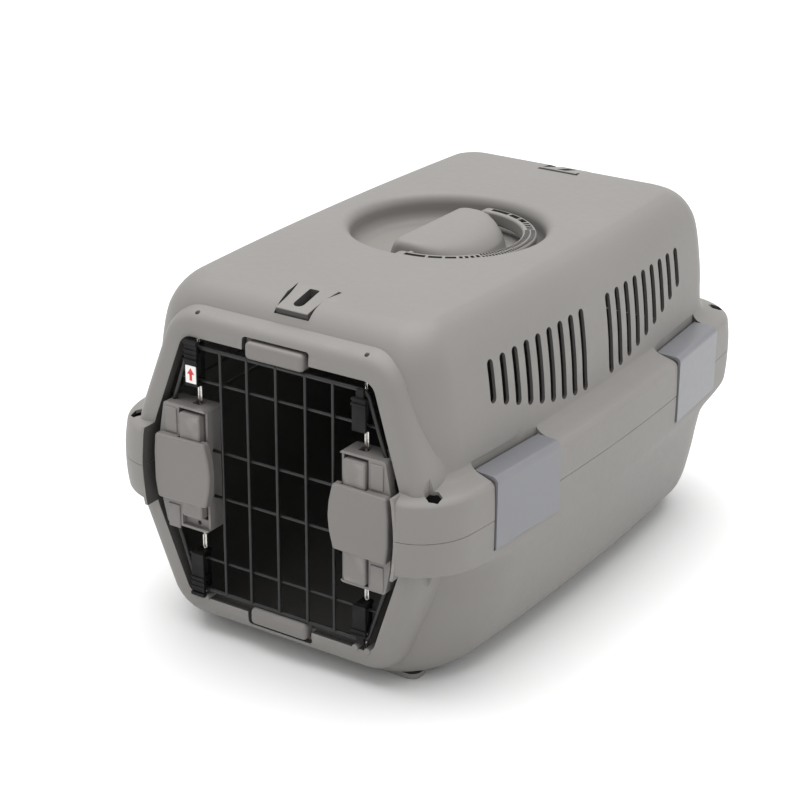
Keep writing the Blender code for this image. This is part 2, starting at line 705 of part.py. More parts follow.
def build_grille(door):
    grille = add_object("door_grille", tube("frame", frame_points(), FRAME_WIRE, cyclic=True), "grille_black",
                        parent=door)
    wires = bmesh.new()
    add_grille_wires(wires, GRILLE_WIRE)
    boolean(grille, make_cutter("grille_wires", wires), "UNION", use_self=True)


def wire_clearance():
    """The grille's wires, a little thicker, for cutting their seats in the pieces that clamp on them."""
    frame = make_cutter("frame_clearance", tube("frame_clearance", frame_points(), FRAME_WIRE + GAP, cyclic=True))
    rows = bmesh.new()
    for height in WIRE_ROWS:
        for sign in (-1, 1):
            half = frame_half_width(height)
            z = SEAM + sign * height
            add_cylinder(rows, (-half, GRILLE_Y + 1.2 * MM, z), (half, GRILLE_Y + 1.2 * MM, z),
                         GRILLE_WIRE + GAP, 8, math.pi / 8)
    return frame, make_cutter("row_clearance", rows)


def side_polygon(side, corners):
    """Corners given for +X as (x, height above the seam), counter-clockwise from -Y, on either side."""
    points = [Vector((side * x, z)) * MM for x, z in corners]
    return points if side > 0 else points[::-1]


def build_latch(side, door, clearance):
    word = "left" if side < 0 else "right"
    outer = side_polygon(side, ((61, -58), (111, -58), (116, -32), (116, 32), (111, 59.5), (61, 59.5)))
    radii = [3 * MM] * 6
    body = rounded_polygon(outer, radii, (2,) * 6)
    housing = add_object(f"latch_housing_{word}", lifted(prism_y(body, -267.5 * MM, -245.5 * MM)), "latch_grey",
                         parent=door)
    pocket = bmesh.new()
    add_box(pocket, *mirrored(side, (66 * MM, -0.29, SEAM - 55.7 * MM), (95 * MM, -247.7 * MM, SEAM + 57.2 * MM)))
    boolean(housing, make_cutter(f"pocket_{word}", pocket))
    if side < 0:
        filler = box((-95.5 * MM, -263 * MM, SEAM - 56 * MM), (-65.5 * MM, -247.4 * MM, SEAM - 43 * MM))
        boolean(housing, make_cutter("pocket_filler", filler), "UNION")
        boolean(housing, make_cutter("pocket_eye", box((-82 * MM, -0.29, SEAM - 51 * MM), (-79 * MM, -0.2555, SEAM - 48 * MM))))
    lightening = bmesh.new()
    add_box(lightening, *mirrored(side, (98 * MM, -264.5 * MM, SEAM - 50 * MM), (110 * MM, -0.2, SEAM + 52 * MM)))
    boolean(housing, make_cutter(f"housing_room_{word}", lightening))
    seat = bmesh.new()
    add_box(seat, *mirrored(side, (76 * MM, -256 * MM, SEAM - 3 * MM), (91 * MM, -246 * MM, SEAM + 3 * MM)))
    boolean(housing, make_cutter(f"spring_seat_{word}", seat), "UNION")
    slots = bmesh.new()
    for sz in (-1, 1):
        low, high = sorted((sz * 42 * MM, sz * 62 * MM))
        add_box(slots, *mirrored(side, (81.4 * MM, -259 * MM, SEAM + low), (85.6 * MM, -250.3 * MM, SEAM + high)))
    boolean(housing, make_cutter(f"rod_slots_{word}", slots))
    for cutter in clearance:
        boolean(housing, cutter)
    cover_shape = side_polygon(side, ((64, -26), (115.5, -27.5), (118, -12), (118, 14), (116.5, 31.5), (64, 32.5)))
    cover = add_object(f"latch_cover_{word}", lifted(prism_y(rounded_polygon(cover_shape, [4 * MM, 4 * MM, 20 * MM,
                       20 * MM, 4 * MM, 4 * MM], (3,) * 6), -275 * MM, -267.8 * MM)), "latch_grey", parent=door)
    channel = bmesh.new()
    add_box(channel, *mirrored(side, (70.5 * MM, -271.4 * MM, SEAM - 50 * MM), (95 * MM, -0.2, SEAM + 50 * MM)))
    boolean(cover, make_cutter(f"cover_channel_{word}", channel))


def build_tab(name, sz, door):
    """Grey tab nested in the collar's notch, with a foot behind the frame's top or bottom wire."""
    low, high = sorted((sz * 115 * MM, sz * 129 * MM))
    tab = add_object(name, box((-29 * MM, -260 * MM, SEAM + low), (29 * MM, -254 * MM, SEAM + high)),
                     "latch_grey", parent=door)
    low, high = sorted((sz * 106.5 * MM, sz * 117 * MM))
    foot = box((-26 * MM, -256.2 * MM, SEAM + low), (26 * MM, -253.8 * MM, SEAM + high))
    boolean(tab, make_cutter(name + "_foot", foot), "UNION")


def build_bolt(side, sz, door):
    """One bolt: a button, a steel rod with a pin tip, a black guide around the grille's wires and a spring."""
    word = ("lower" if sz < 0 else "upper") + ("_left" if side < 0 else "_right")
    pushed_in = side < 0 and sz < 0

    def corner_pair(low, high):
        (x0, y0, z0), (x1, y1, z1) = mirrored(side, low, high)
        z0, z1 = sorted((sz * z0, sz * z1))
        return (x0, y0, SEAM + z0), (x1, y1, SEAM + z1)

    bolt = make_empty(f"bolt_{word}_slide", (side * BOLT_X, ROD_Y, SEAM + sz * ROD_TIP))
    bolt.parent = door
    bolt.matrix_parent_inverse = door.matrix_world.inverted()

    plate = (16.5, 41) if pushed_in else (18, 54.5)
    button = add_object(f"latch_button_{word}",
                        box(*corner_pair((72 * MM, -270.5 * MM, plate[0] * MM), (93.5 * MM, -259.4 * MM, plate[1] * MM))),
                        "latch_grey", parent=bolt)
    neck = bmesh.new()
    front = -264 * MM if pushed_in else -262 * MM
    neck_span = (38.7 * MM, 40.9 * MM) if pushed_in else (40 * MM, 51.5 * MM)
    add_box(neck, *corner_pair((78 * MM, front, neck_span[0]), (89 * MM, -249 * MM, neck_span[1])))
    boolean(button, make_cutter(f"button_neck_{word}", neck), "UNION")
    bore = cylinder((side * BOLT_X, ROD_Y, SEAM + sz * 24 * MM), (side * BOLT_X, ROD_Y, SEAM + sz * 60 * MM),
                    ROD_RADIUS + GAP)
    boolean(button, make_cutter(f"button_bore_{word}", bore))

    tip = 2.5 * MM
    rod = cylinder((side * BOLT_X, ROD_Y, SEAM + sz * ROD_TAIL), (side * BOLT_X, ROD_Y, SEAM + sz * (ROD_TIP - tip)),
                   ROD_RADIUS)
    rod_object = add_object(f"latch_rod_{word}", rod, "rod_steel", parent=bolt)
    point = bmesh.new()
    bmesh.ops.create_uvsphere(point, u_segments=10, v_segments=6, radius=ROD_RADIUS,
                              matrix=Matrix.Translation((side * BOLT_X, ROD_Y, SEAM + sz * (ROD_TIP - tip))))
    boolean(rod_object, make_cutter(f"rod_tip_{word}", point), "UNION")

    # The right-hand guides turn with the door inside the opening's rounded corners, so they are shorter.
    guide_end = (106.5 if side > 0 else 118) * MM
    guide = add_object(f"bolt_guide_{word}",
                       box(*corner_pair((77 * MM, -265 * MM, 76.5 * MM), (90 * MM, -262.2 * MM, guide_end))),
                       "guide_black", parent=bolt)
    webs = bmesh.new()
    if side > 0:
        add_box(webs, *corner_pair((79.8 * MM, -263.1 * MM, 104 * MM), (87.2 * MM, -260.4 * MM, 113.5 * MM)))
    add_box(webs, *corner_pair((79 * MM, -262.6 * MM, 76.5 * MM), (88 * MM, -249.5 * MM, 79.8 * MM)))
    add_box(webs, *corner_pair((79.5 * MM, -262.6 * MM, 101 * MM), (86.5 * MM, -249.5 * MM, 106 * MM)))
    boolean(guide, make_cutter(f"guide_webs_{word}", webs), "UNION")
    guide_bore = cylinder((side * BOLT_X, ROD_Y, SEAM + sz * 70 * MM), (side * BOLT_X, ROD_Y, SEAM + sz * 120 * MM),
                          ROD_RADIUS + GAP)
    boolean(guide, make_cutter(f"guide_bore_{word}", guide_bore))

    coil = []
    turns, low, high = 6, 3.6 * MM, (38.1 if pushed_in else 39.4) * MM
    for step in range(turns * 6 + 1):
        a = step / 6 * math.tau
        z = low + (high - low) * step / (turns * 6)
        coil.append(Vector((side * BOLT_X + 2.6 * MM * math.cos(a), ROD_Y + 2.6 * MM * math.sin(a), SEAM + sz * z)))
    add_object(f"latch_spring_{word}", tube("coil", coil, 0.5 * MM, sides=0), "rod_steel", parent=door)


def build_label(bolt):
    """White label with a generic arrow on the upper left guide."""
    low, high = (-89.3 * MM, -265.7 * MM, SEAM + 83.5 * MM), (-77.7 * MM, -265.3 * MM, SEAM + 98 * MM)
    add_object("arrow_label", box(low, high), "label_white", parent=bolt)


def build_door():
    door = make_empty("door_pivot", (BOLT_X, ROD_Y, SEAM))
    build_grille(door)
    clearance = wire_clearance()
    for side in (-1, 1):
        build_latch(side, door, clearance)
        for sz in (-1, 1):
            build_bolt(side, sz, door)
    build_tab("door_tab_upper", 1, door)
    build_tab("door_tab_lower", -1, door)
    build_label(bpy.data.objects["bolt_upper_left_slide"])


# ---------------------------------------------------------------- assembly

clear_scene()
PARTS = make_collection(COLLECTION)
CUTTERS = make_collection("cutters")
MATERIALS = {name: make_material(name) for name in COLOURS}
OPENING_CUTS = {
    "rough": make_cutter("opening_rough", lifted(prism_y(opening_outline(0.5 * MM), -0.3, -0.2))),
    "final": make_cutter("opening_final", lifted(prism_y(opening_outline(0, CUT_STEPS), -0.3, -0.2))),
}

build_top_shell()
build_bottom_shell()
build_strap_anchor("strap_anchor_front", -1)
build_strap_anchor("strap_anchor_rear", 1)
build_handle()
for clip_side, clip_end in CLIP_SEATS:
    clip_name = "side_clip_" + ("front" if clip_end < 0 else "rear") + ("_left" if clip_side < 0 else "_right")
    build_clip(clip_name, clip_side, clip_end)
build_door()
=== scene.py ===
"""Looks of the pet transport carrier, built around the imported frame.

+Z is up, the door faces -Y and the origin is at the bottom centre. Names that carry MM are in metres; every
other length, in tables, outlines and box corners, is in millimetres, with heights counted from the seam
between the two shells.
"""

import math

import bmesh
import bpy
import numpy as np
from mathutils import Matrix, Vector


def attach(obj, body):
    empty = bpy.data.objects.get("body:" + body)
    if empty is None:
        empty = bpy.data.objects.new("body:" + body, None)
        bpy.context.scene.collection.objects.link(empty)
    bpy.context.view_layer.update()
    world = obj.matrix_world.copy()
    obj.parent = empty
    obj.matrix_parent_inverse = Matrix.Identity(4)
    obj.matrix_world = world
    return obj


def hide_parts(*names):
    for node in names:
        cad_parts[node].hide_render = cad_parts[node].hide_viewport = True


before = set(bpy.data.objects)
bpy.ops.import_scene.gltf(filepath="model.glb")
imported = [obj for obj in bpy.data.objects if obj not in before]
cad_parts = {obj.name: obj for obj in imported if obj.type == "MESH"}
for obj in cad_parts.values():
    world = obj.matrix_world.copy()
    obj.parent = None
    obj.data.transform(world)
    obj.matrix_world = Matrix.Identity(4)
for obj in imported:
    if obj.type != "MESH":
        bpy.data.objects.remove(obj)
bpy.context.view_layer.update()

MM = 0.001
LENGTH = 560 * MM
WIDTH = 367 * MM
SEAM = 156 * MM
SHEET = 2.8 * MM
HALF_SEAM_GAP = 0.04 * MM
BOW = 0.095
BAND_Y = -LENGTH / 2
OPENING_TOP = (94, 120)
FACE_Y = -267
FACE_SWEEP = 6
GRILLE_Y = -258.7
FRAME_INSET = 8.5
BOLT_X = 83.5
ROD_Y = -252.5
FRAME_WIRE = 2
GRILLE_WIRE = 1.4
WIRE_OFFSET = 1.2
WIRE_ROWS = (82, 21)
WIRE_COLUMNS = (0, 29, 56)
HANDLE_AXIS_Z = SEAM + 149.7 * MM
HANDLE_OUTER = 79
HANDLE_ARM = 12
PIVOT_RADIUS = 4
BOWL_RADIUS = 97 * MM
BOWL_FLOOR = 137 * MM
ROOF = 162.5 * MM
CLIP_Y = 157 * MM
CLIP_WIDTH = 92
CLIP_TURN = math.radians(4)
CLIP_AXIS = (-22.5, 36)
ANCHOR_Y = 217.5
ANCHOR_HEIGHT = 155
ANCHOR_TILT = math.radians(13)
LUG_HOLE = (148.5, 256, 7.3)         # x, y and radius
VENT_WIDTH = 8.3
VENT_PITCH = 17.8
VENTS_PER_GROUP = 9
NOTCH = (33, 100, 131.5)             # half width, nearest and farthest height
SKID_Y = 217
GUIDE_ENDS = {-1: 114, 1: 106}
CAMERA_PLACE = (0.92393, -1.49911, 0.89499)
CAMERA_AXES = ((0.83717, 0.54692, 0.00643), (-0.21866, 0.32388, 0.92048), (0.50134, -0.77200, 0.39073))

TOP_LEVELS = (
    # z, inset at the ends, inset at the sides, corner radius
    (0.04, 0.7, 0.7, 44.3), (0.3, 0.25, 0.25, 44.75), (1, 0, 0, 45), (4, 0, 0, 45), (29, 0.5, 0.8, 50),
    (33.5, 4, 4, 52), (36, 9, 12, 50), (39, 14.5, 21, 50), (45, 17.5, 26, 50), (81, 22, 29.5, 44),
    (116, 28, 34.5, 38), (132, 32.5, 39, 34), (146, 40.5, 47, 30), (155, 51, 56, 26), (160, 63, 65, 22),
)
BOTTOM_LEVELS = (
    (-0.04, 0.7, 0.7, 44.3), (-0.3, 0.25, 0.25, 44.75), (-1, 0, 0, 45), (-4, 0, 0, 45), (-29, 0.3, 0.3, 50),
    (-33.5, 3, 1, 60), (-36, 9, 1.6, 74), (-39, 14.5, 2.4, 88), (-46, 17.5, 3.8, 96), (-60, 19, 6, 98),
    (-80, 21, 9.5, 95), (-100, 23.5, 14.5, 89), (-118, 26.5, 20.5, 80), (-132, 30, 28, 70),
    (-142, 35.5, 38, 58), (-149, 43, 51, 46), (-152, 50, 63, 38),
)
COLLAR_PROFILE = (
    # distance outside the opening's edge, distance behind the collar's face
    (-1, 24), (-1, 2.4), (-0.6, 1.1), (0.4, 0.35), (2.5, 0), (8, 0), (11, 0.25), (13.2, 0.9), (15.2, 1.9),
    (17, 3.4), (18.7, 5.6), (20, 8.2), (21.1, 11.2), (21.9, 14.6), (22.4, 18.4), (22.7, 23), (23, 45),
)


# ---------------- materials

def new_material(name):
    material = bpy.data.materials.new(name)
    material.use_nodes = True
    return material, material.node_tree, material.node_tree.nodes["Principled BSDF"]


def noise(tree, scale, detail=3.0, roughness=0.55, stretch=None):
    """A noise texture in the piece's own coordinates; scale is per metre."""
    place = tree.nodes.new("ShaderNodeTexCoord")
    vector = place.outputs["Object"]
    if stretch:
        mapping = tree.nodes.new("ShaderNodeMapping")
        mapping.inputs["Scale"].default_value = stretch
        tree.links.new(vector, mapping.inputs["Vector"])
        vector = mapping.outputs["Vector"]
    texture = tree.nodes.new("ShaderNodeTexNoise")
    texture.inputs["Scale"].default_value = scale
    texture.inputs["Detail"].default_value = detail
    texture.inputs["Roughness"].default_value = roughness
    tree.links.new(vector, texture.inputs["Vector"])
    return texture.outputs["Fac"]


def spread(tree, value, low, high, start=0.3, end=0.7):
    """Maps start..end of a value to low..high."""
    node = tree.nodes.new("ShaderNodeMapRange")
    for socket, number in (("From Min", start), ("From Max", end), ("To Min", low), ("To Max", high)):
        node.inputs[socket].default_value = number
    tree.links.new(value, node.inputs["Value"])
    return node.outputs["Result"]


def mix_colour(tree, factor, a, b):
    node = tree.nodes.new("ShaderNodeMix")
    node.data_type = "RGBA"
    for socket, given in ((node.inputs[0], factor), (node.inputs[6], a), (node.inputs[7], b)):
        if isinstance(given, (int, float)):
            socket.default_value = given
        elif isinstance(given, tuple):
            socket.default_value = (*given, 1)
        else:
            tree.links.new(given, socket)
    return node.outputs[2]


def bumps(tree, shader, layers):
    """Chained bump nodes: (height value, distance in metres, strength)."""
    normal = None
    for height, distance, strength in layers:
        node = tree.nodes.new("ShaderNodeBump")
        node.inputs["Distance"].default_value = distance
        node.inputs["Strength"].default_value = strength
        tree.links.new(height, node.inputs["Height"])
        if normal is not None:
            tree.links.new(normal, node.inputs["Normal"])
        normal = node.outputs["Normal"]
    tree.links.new(normal, shader.inputs["Normal"])


def moulded_plastic(name, colour, roughness, grain=1.0, wear=0.1, coat=0.0, shine=0.4):
    """Moulded plastic: eroded grain, faint cloudiness, rubbed edges and a few hairline scratches."""
    material, tree, shader = new_material(name)
    cloudy, cloud = noise(tree, 9, 4), 0.025
    dark = tuple(c * (1 - cloud) for c in colour)
    light = tuple(min(1, c * (1 + cloud)) for c in colour)
    base = mix_colour(tree, spread(tree, cloudy, 0, 1), dark, light)
    speck = noise(tree, 1400, 2)
    speckled = spread(tree, speck, 0, 0.35, 0.5, 0.8)
    base = mix_colour(tree, speckled, base, tuple(c * 0.9 for c in colour))
    geometry = tree.nodes.new("ShaderNodeNewGeometry")
    rubbed = spread(tree, geometry.outputs["Pointiness"], 0, 1, 0.53, 0.62)
    patch = spread(tree, noise(tree, 60, 5), 0, 1, 0.45, 0.62)
    both = tree.nodes.new("ShaderNodeMath")
    both.operation = "MULTIPLY"
    tree.links.new(rubbed, both.inputs[0])
    tree.links.new(patch, both.inputs[1])
    amount = spread(tree, both.outputs[0], 0, wear, 0, 1)
    base = mix_colour(tree, amount, base, tuple(min(1, c * 1.5 + 0.04) for c in colour))
    tree.links.new(base, shader.inputs["Base Color"])
    scratch = noise(tree, 55, 2, 0.6, (1, 14, 3))
    worn = noise(tree, 130, 3)
    tree.links.new(spread(tree, worn, roughness - 0.025, roughness + 0.03), shader.inputs["Roughness"])
    shader.inputs["Specular IOR Level"].default_value = shine
    shader.inputs["Coat Weight"].default_value = coat
    shader.inputs["Coat Roughness"].default_value = 0.3
    fine = noise(tree, 1150, 3, 0.6)
    coarse = noise(tree, 420, 2)
    bumps(tree, shader, [(fine, 0.00007 * grain, 0.55), (coarse, 0.00008 * grain, 0.2),
                                 (spread(tree, scratch, 0, 1, 0.66, 0.72), 0.00003, 0.25)])
    return material


def coated_wire(name, colour, roughness):
    """Thick glossy dip coating with slight runs and dust in its dull spots."""
    material, tree, shader = new_material(name)
    dust = spread(tree, noise(tree, 160, 5), 0, 0.5, 0.5, 0.75)
    tree.links.new(mix_colour(tree, dust, colour, tuple(c * 1.8 + 0.012 for c in colour)),
              shader.inputs["Base Color"])
    tree.links.new(spread(tree, noise(tree, 90, 3), roughness - 0.08, roughness + 0.1),
              shader.inputs["Roughness"])
    shader.inputs["Specular IOR Level"].default_value = 0.5
    bumps(tree, shader, [(noise(tree, 240, 3), 0.0002, 0.3),
                                 (noise(tree, 1500, 2), 0.00004, 0.3)])
    return material


def drawn_steel(name, colour):
    """Bright drawn wire: fine rings from the die along it, and duller stains."""
    material, tree, shader = new_material(name)
    shader.inputs["Metallic"].default_value = 1.0
    stain = spread(tree, noise(tree, 220, 4), 0, 0.6, 0.45, 0.75)
    stained = mix_colour(tree, stain, colour, tuple(c * 0.55 for c in colour))
    tree.links.new(stained, shader.inputs["Base Color"])
    tree.links.new(spread(tree, noise(tree, 300, 3), 0.16, 0.34), shader.inputs["Roughness"])
    bumps(tree, shader, [(noise(tree, 500, 2, 0.5, (6, 6, 0.4)), 0.00006, 0.4)])
    return material


def sticker(name, colour):
    """Printed paper-backed film with a faint fibre."""
    material, tree, shader = new_material(name)
    fibre = noise(tree, 700, 4, 0.6, (1, 1, 3))
    tree.links.new(mix_colour(tree, spread(tree, fibre, 0, 0.5), colour,
                         tuple(c * 0.86 for c in colour)), shader.inputs["Base Color"])
    tree.links.new(spread(tree, fibre, 0.38, 0.5), shader.inputs["Roughness"])
    bumps(tree, shader, [(fibre, 0.00003, 0.3)])
    return material


def floor_material():
    material, tree, shader = new_material("studio_floor")
    soft = spread(tree, noise(tree, 3, 2), 0, 1)
    pale = mix_colour(tree, soft, (0.8, 0.8, 0.8), (0.82, 0.82, 0.82))
    tree.links.new(pale, shader.inputs["Base Color"])
    shader.inputs["Roughness"].default_value = 0.9
    return material


MATERIALS = {
    "shell": moulded_plastic("shell_plastic", (0.206, 0.197, 0.186), 0.5, wear=0.25),
    # painted shade: a near-black copy of the shell plastic for faces that lie in shade; the real inside is
    # the same grey plastic
    "inner": moulded_plastic("shell_painted_shade_plastic", (0.07, 0.067, 0.063), 0.6, grain=1.5, wear=0.05),
    "latch": moulded_plastic("latch_plastic", (0.18, 0.17, 0.162), 0.44, grain=0.5, wear=0.35),
    "clip": moulded_plastic("clip_plastic", (0.168, 0.17, 0.183), 0.34, grain=0.35, wear=0.3, coat=0.15),
    "grille": coated_wire("grille_coating", (0.006, 0.0057, 0.0055), 0.42),
    "guide": moulded_plastic("guide_plastic", (0.006, 0.0056, 0.0056), 0.55, grain=0.4, wear=0.3, shine=0.18),
    "rod": drawn_steel("rod_steel", (0.68, 0.66, 0.62)),
    "label": sticker("label_film", (0.82, 0.81, 0.79)),
    "arrow": sticker("label_print", (0.62, 0.03, 0.02)),
}


# ---------------- objects

def settle(made):
    """Applies an object's modifiers to its mesh."""
    graph = bpy.context.evaluated_depsgraph_get()
    graph.update()
    mesh = bpy.data.meshes.new_from_object(made.evaluated_get(graph))
    made.modifiers.clear()
    made.data = mesh
    return made


def add_to_scene(name, data):
    made = bpy.data.objects.new(name, data)
    bpy.context.scene.collection.objects.link(made)
    return made


def to_object(name, bm):
    mesh = bpy.data.meshes.new(name)
    bm.normal_update()
    bm.to_mesh(mesh)
    bm.free()
    return add_to_scene(name, mesh)


def boolean(target, bm, operation="DIFFERENCE"):
    """Cuts a bmesh out of the target, or joins it on."""
    operand = to_object("cutter", bm) if isinstance(bm, bmesh.types.BMesh) else bm
    modifier = target.modifiers.new("cut", "BOOLEAN")
    modifier.operation = operation
    modifier.object = operand
    modifier.solver = "EXACT"
    settle(target)
    bpy.data.objects.remove(operand, do_unlink=True)


def round_edges(made, width, segments=3, angle=38):
    modifier = made.modifiers.new("edges", "BEVEL")
    modifier.width = width * MM
    modifier.segments = segments
    modifier.limit_method = "ANGLE"
    modifier.angle_limit = math.radians(angle)
    modifier.harden_normals = False
    settle(made)


def finish_piece(made, material, body, replaces=(), smooth=35, matrix=None):
    """Smooths, gives the material and says what the piece rides on, is made of and stands for."""
    mesh = made.data
    if matrix is not None:
        mesh.transform(matrix)
    mesh.name = made.name
    mesh.materials.clear()
    mesh.materials.append(MATERIALS[material])
    mesh.shade_smooth()
    mesh.set_sharp_from_angle(angle=math.radians(smooth))
    modifier = made.modifiers.new("normals", "WEIGHTED_NORMAL")
    modifier.keep_sharp = True
    modifier.weight = 50
    settle(made)
    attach(made, body)
    if replaces:
        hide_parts(*replaces)
    return made


def piece(name, bm, material, body, replaces=(), edges=0, segments=3, angle=38, smooth=35):
    """A finished piece from a bmesh, with its edges rounded first where a width is given."""
    made = to_object(name, bm)
    if edges:
        round_edges(made, edges, segments, angle)
    return finish_piece(made, material, body, replaces, smooth)


# ---------------- outlines

def rectangle(x0, x1, y0, y1):
    return [(x0, y0), (x1, y0), (x1, y1), (x0, y1)]


def intersect(a, b, c, d):
    """Where the line through a and b crosses the line through c and d."""
    u, v = b - a, d - c
    return a + u * ((c - a).cross(v) / u.cross(v))


def offset_polygon(corners, distance):
    """A convex counter-clockwise polygon moved outward by a distance."""
    points = [Vector(p) for p in corners]
    moved = []
    for i, point in enumerate(points):
        before, after = points[i - 1], points[(i + 1) % len(points)]
        n1 = Vector(((point - before).y, -(point - before).x)).normalized() * distance
        n2 = Vector(((after - point).y, -(after - point).x)).normalized() * distance
        moved.append(intersect(before + n1, point + n1, point + n2, after + n2))
    return moved


def rounded_polygon(corners, radii, steps):
    """A convex counter-clockwise polygon with each corner turned into an arc."""
    points = [Vector(p) for p in corners]
    radii = [radii] * len(points) if isinstance(radii, (int, float)) else radii
    steps = [steps] * len(points) if isinstance(steps, int) else steps
    outline = []
    for i, point in enumerate(points):
        back = (points[i - 1] - point).normalized()
        ahead = (points[(i + 1) % len(points)] - point).normalized()
        half = back.angle(ahead) / 2
        centre = point + (back + ahead).normalized() * (radii[i] / math.sin(half))
        start = point + back * (radii[i] / math.tan(half)) - centre
        sweep = math.pi - 2 * half
        for step in range(steps[i] + 1):
            angle = sweep * step / steps[i]
            c, s = math.cos(angle), math.sin(angle)
            outline.append(centre + Vector((start.x * c - start.y * s, start.x * s + start.y * c)))
    return outline


def plan_outline(half_length, half_width, radius, side_steps=20, end_steps=10, corner_steps=12):
    """Counter-clockwise plan of a shell: a rounded rectangle whose long sides bow outward at the middle."""
    points = []
    for corner, (sx, sy) in enumerate(((1, 1), (-1, 1), (-1, -1), (1, -1))):
        centre = Vector((sx * (half_width - radius), sy * (half_length - radius)))
        for step in range(corner_steps + 1):
            angle = (corner + step / corner_steps) * math.pi / 2
            points.append(centre + radius * Vector((math.cos(angle), math.sin(angle))))
        steps = end_steps if corner % 2 == 0 else side_steps
        end = points[-1]
        following = Vector((-end.x, end.y)) if corner % 2 == 0 else Vector((end.x, -end.y))
        points += [end.lerp(following, step / steps) for step in range(1, steps)]
    return [Vector((p.x * (1 - BOW * (p.y / (LENGTH / 2)) ** 2), p.y)) for p in points]


OPENING = [(94, -120), (124, -34), (127, 0), (124, 34), (94, 120),
           (-94, 120), (-124, 34), (-127, 0), (-124, -34), (-94, -120)]
OPENING_RADII = (13, 70, 150, 70, 13) * 2
OPENING_STEPS = (9, 7, 5, 7, 9) * 2
CUT_STEPS = (10, 8, 6, 8, 10) * 2


def opening_outline(distance, steps=OPENING_STEPS):
    """The door opening, as (x, z), moved outward by a distance, all in millimetres."""
    return rounded_polygon(offset_polygon(OPENING, distance), [r + distance for r in OPENING_RADII], steps)


def face_y(z):
    """The collar's face, which sweeps back a little above and below the seam."""
    return FACE_Y + FACE_SWEEP * (z / OPENING_TOP[1]) ** 2


def refine(levels, per):
    """More rows between the given ones, on curves that never overshoot them."""
    table = np.array(levels, float)
    run = np.r_[0, np.cumsum(np.sqrt((np.diff(table[:, :3], axis=0) ** 2).sum(1)) + 1e-6)]
    slope = np.diff(table, axis=0) / np.diff(run)[:, None]
    total = slope[1:] + slope[:-1]
    same = slope[1:] * slope[:-1] > 0
    inner = np.where(same, 2 * slope[1:] * slope[:-1] / np.where(same, total, 1), 0)
    tangent = np.vstack([slope[:1], inner, slope[-1:]])
    rows = [table[0]]
    for i in range(len(table) - 1):
        h = run[i + 1] - run[i]
        count = per if h > 1.5 else 1
        for step in range(1, count + 1):
            t = step / count
            rows.append((2 * t**3 - 3 * t**2 + 1) * table[i] + (t**3 - 2 * t**2 + t) * h * tangent[i]
                        + (3 * t**2 - 2 * t**3) * table[i + 1] + (t**3 - t**2) * h * tangent[i + 1])
    return [tuple(float(v) for v in row) for row in rows]


# ---------------- solids from outlines

def from_seam(x, y, z):
    """A point given in millimetres, with its height from the seam."""
    return Vector((x * MM, y * MM, SEAM + z * MM))


def add_loft(bm, rings, cap_start=True, cap_end=True):
    """A surface through rings of equal point counts, each counter-clockwise seen from the last one."""
    rows = [[bm.verts.new(p) for p in ring] for ring in rings]
    count = len(rows[0])
    for lower, upper in zip(rows, rows[1:]):
        for i in range(count):
            j = (i + 1) % count
            bm.faces.new((lower[i], lower[j], upper[j], upper[i]))
    if cap_start:
        bm.faces.new(list(reversed(rows[0])))
    if cap_end:
        bm.faces.new(rows[-1])
    return bm


def loft(rings, cap_start=True, cap_end=True):
    return add_loft(bmesh.new(), rings, cap_start, cap_end)


def add_prism_y(bm, outline, front, back, chamfer=0.0):
    """An (x, z) outline in millimetres run along Y, with an optional rounded front rim."""
    depths = [(back, 0.0)]
    if chamfer:
        for step in range(5):
            a = step / 4 * math.pi / 2
            depths.append((front + chamfer * (1 - math.sin(a)), -chamfer * (1 - math.cos(a))))
    else:
        depths.append((front, 0.0))
    rings = []
    for y, inset in depths:
        ring = offset_polygon(outline, inset) if inset else outline
        rings.append([from_seam(p[0], y, p[1]) for p in ring])
    return add_loft(bm, rings)


def prism_y(outline, front, back, chamfer=0.0):
    return add_prism_y(bmesh.new(), outline, front, back, chamfer)


def add_prism_z(bm, outline, bottom, top):
    return add_loft(bm, [[Vector((p.x, p.y, z)) for p in outline] for z in (bottom, top)])


def add_box(bm, low, high):
    """A box between two corners in millimetres, heights from the seam."""
    low, high = from_seam(*low), from_seam(*high)
    bmesh.ops.create_cube(bm, size=1, matrix=Matrix.Translation((high + low) / 2)
                          @ Matrix.Diagonal((*(high - low), 1)))
    return bm


def box(low, high):
    return add_box(bmesh.new(), low, high)


def add_cylinder(bm, start, end, radius, sides=20):
    start, end = Vector(start), Vector(end)
    axis = end - start
    spin = axis.to_track_quat("Z", "Y").to_matrix().to_4x4()
    bmesh.ops.create_cone(
        bm, cap_ends=True, segments=sides, radius1=radius, radius2=radius, depth=axis.length,
        matrix=Matrix.Translation((start + end) / 2) @ spin)
    return bm


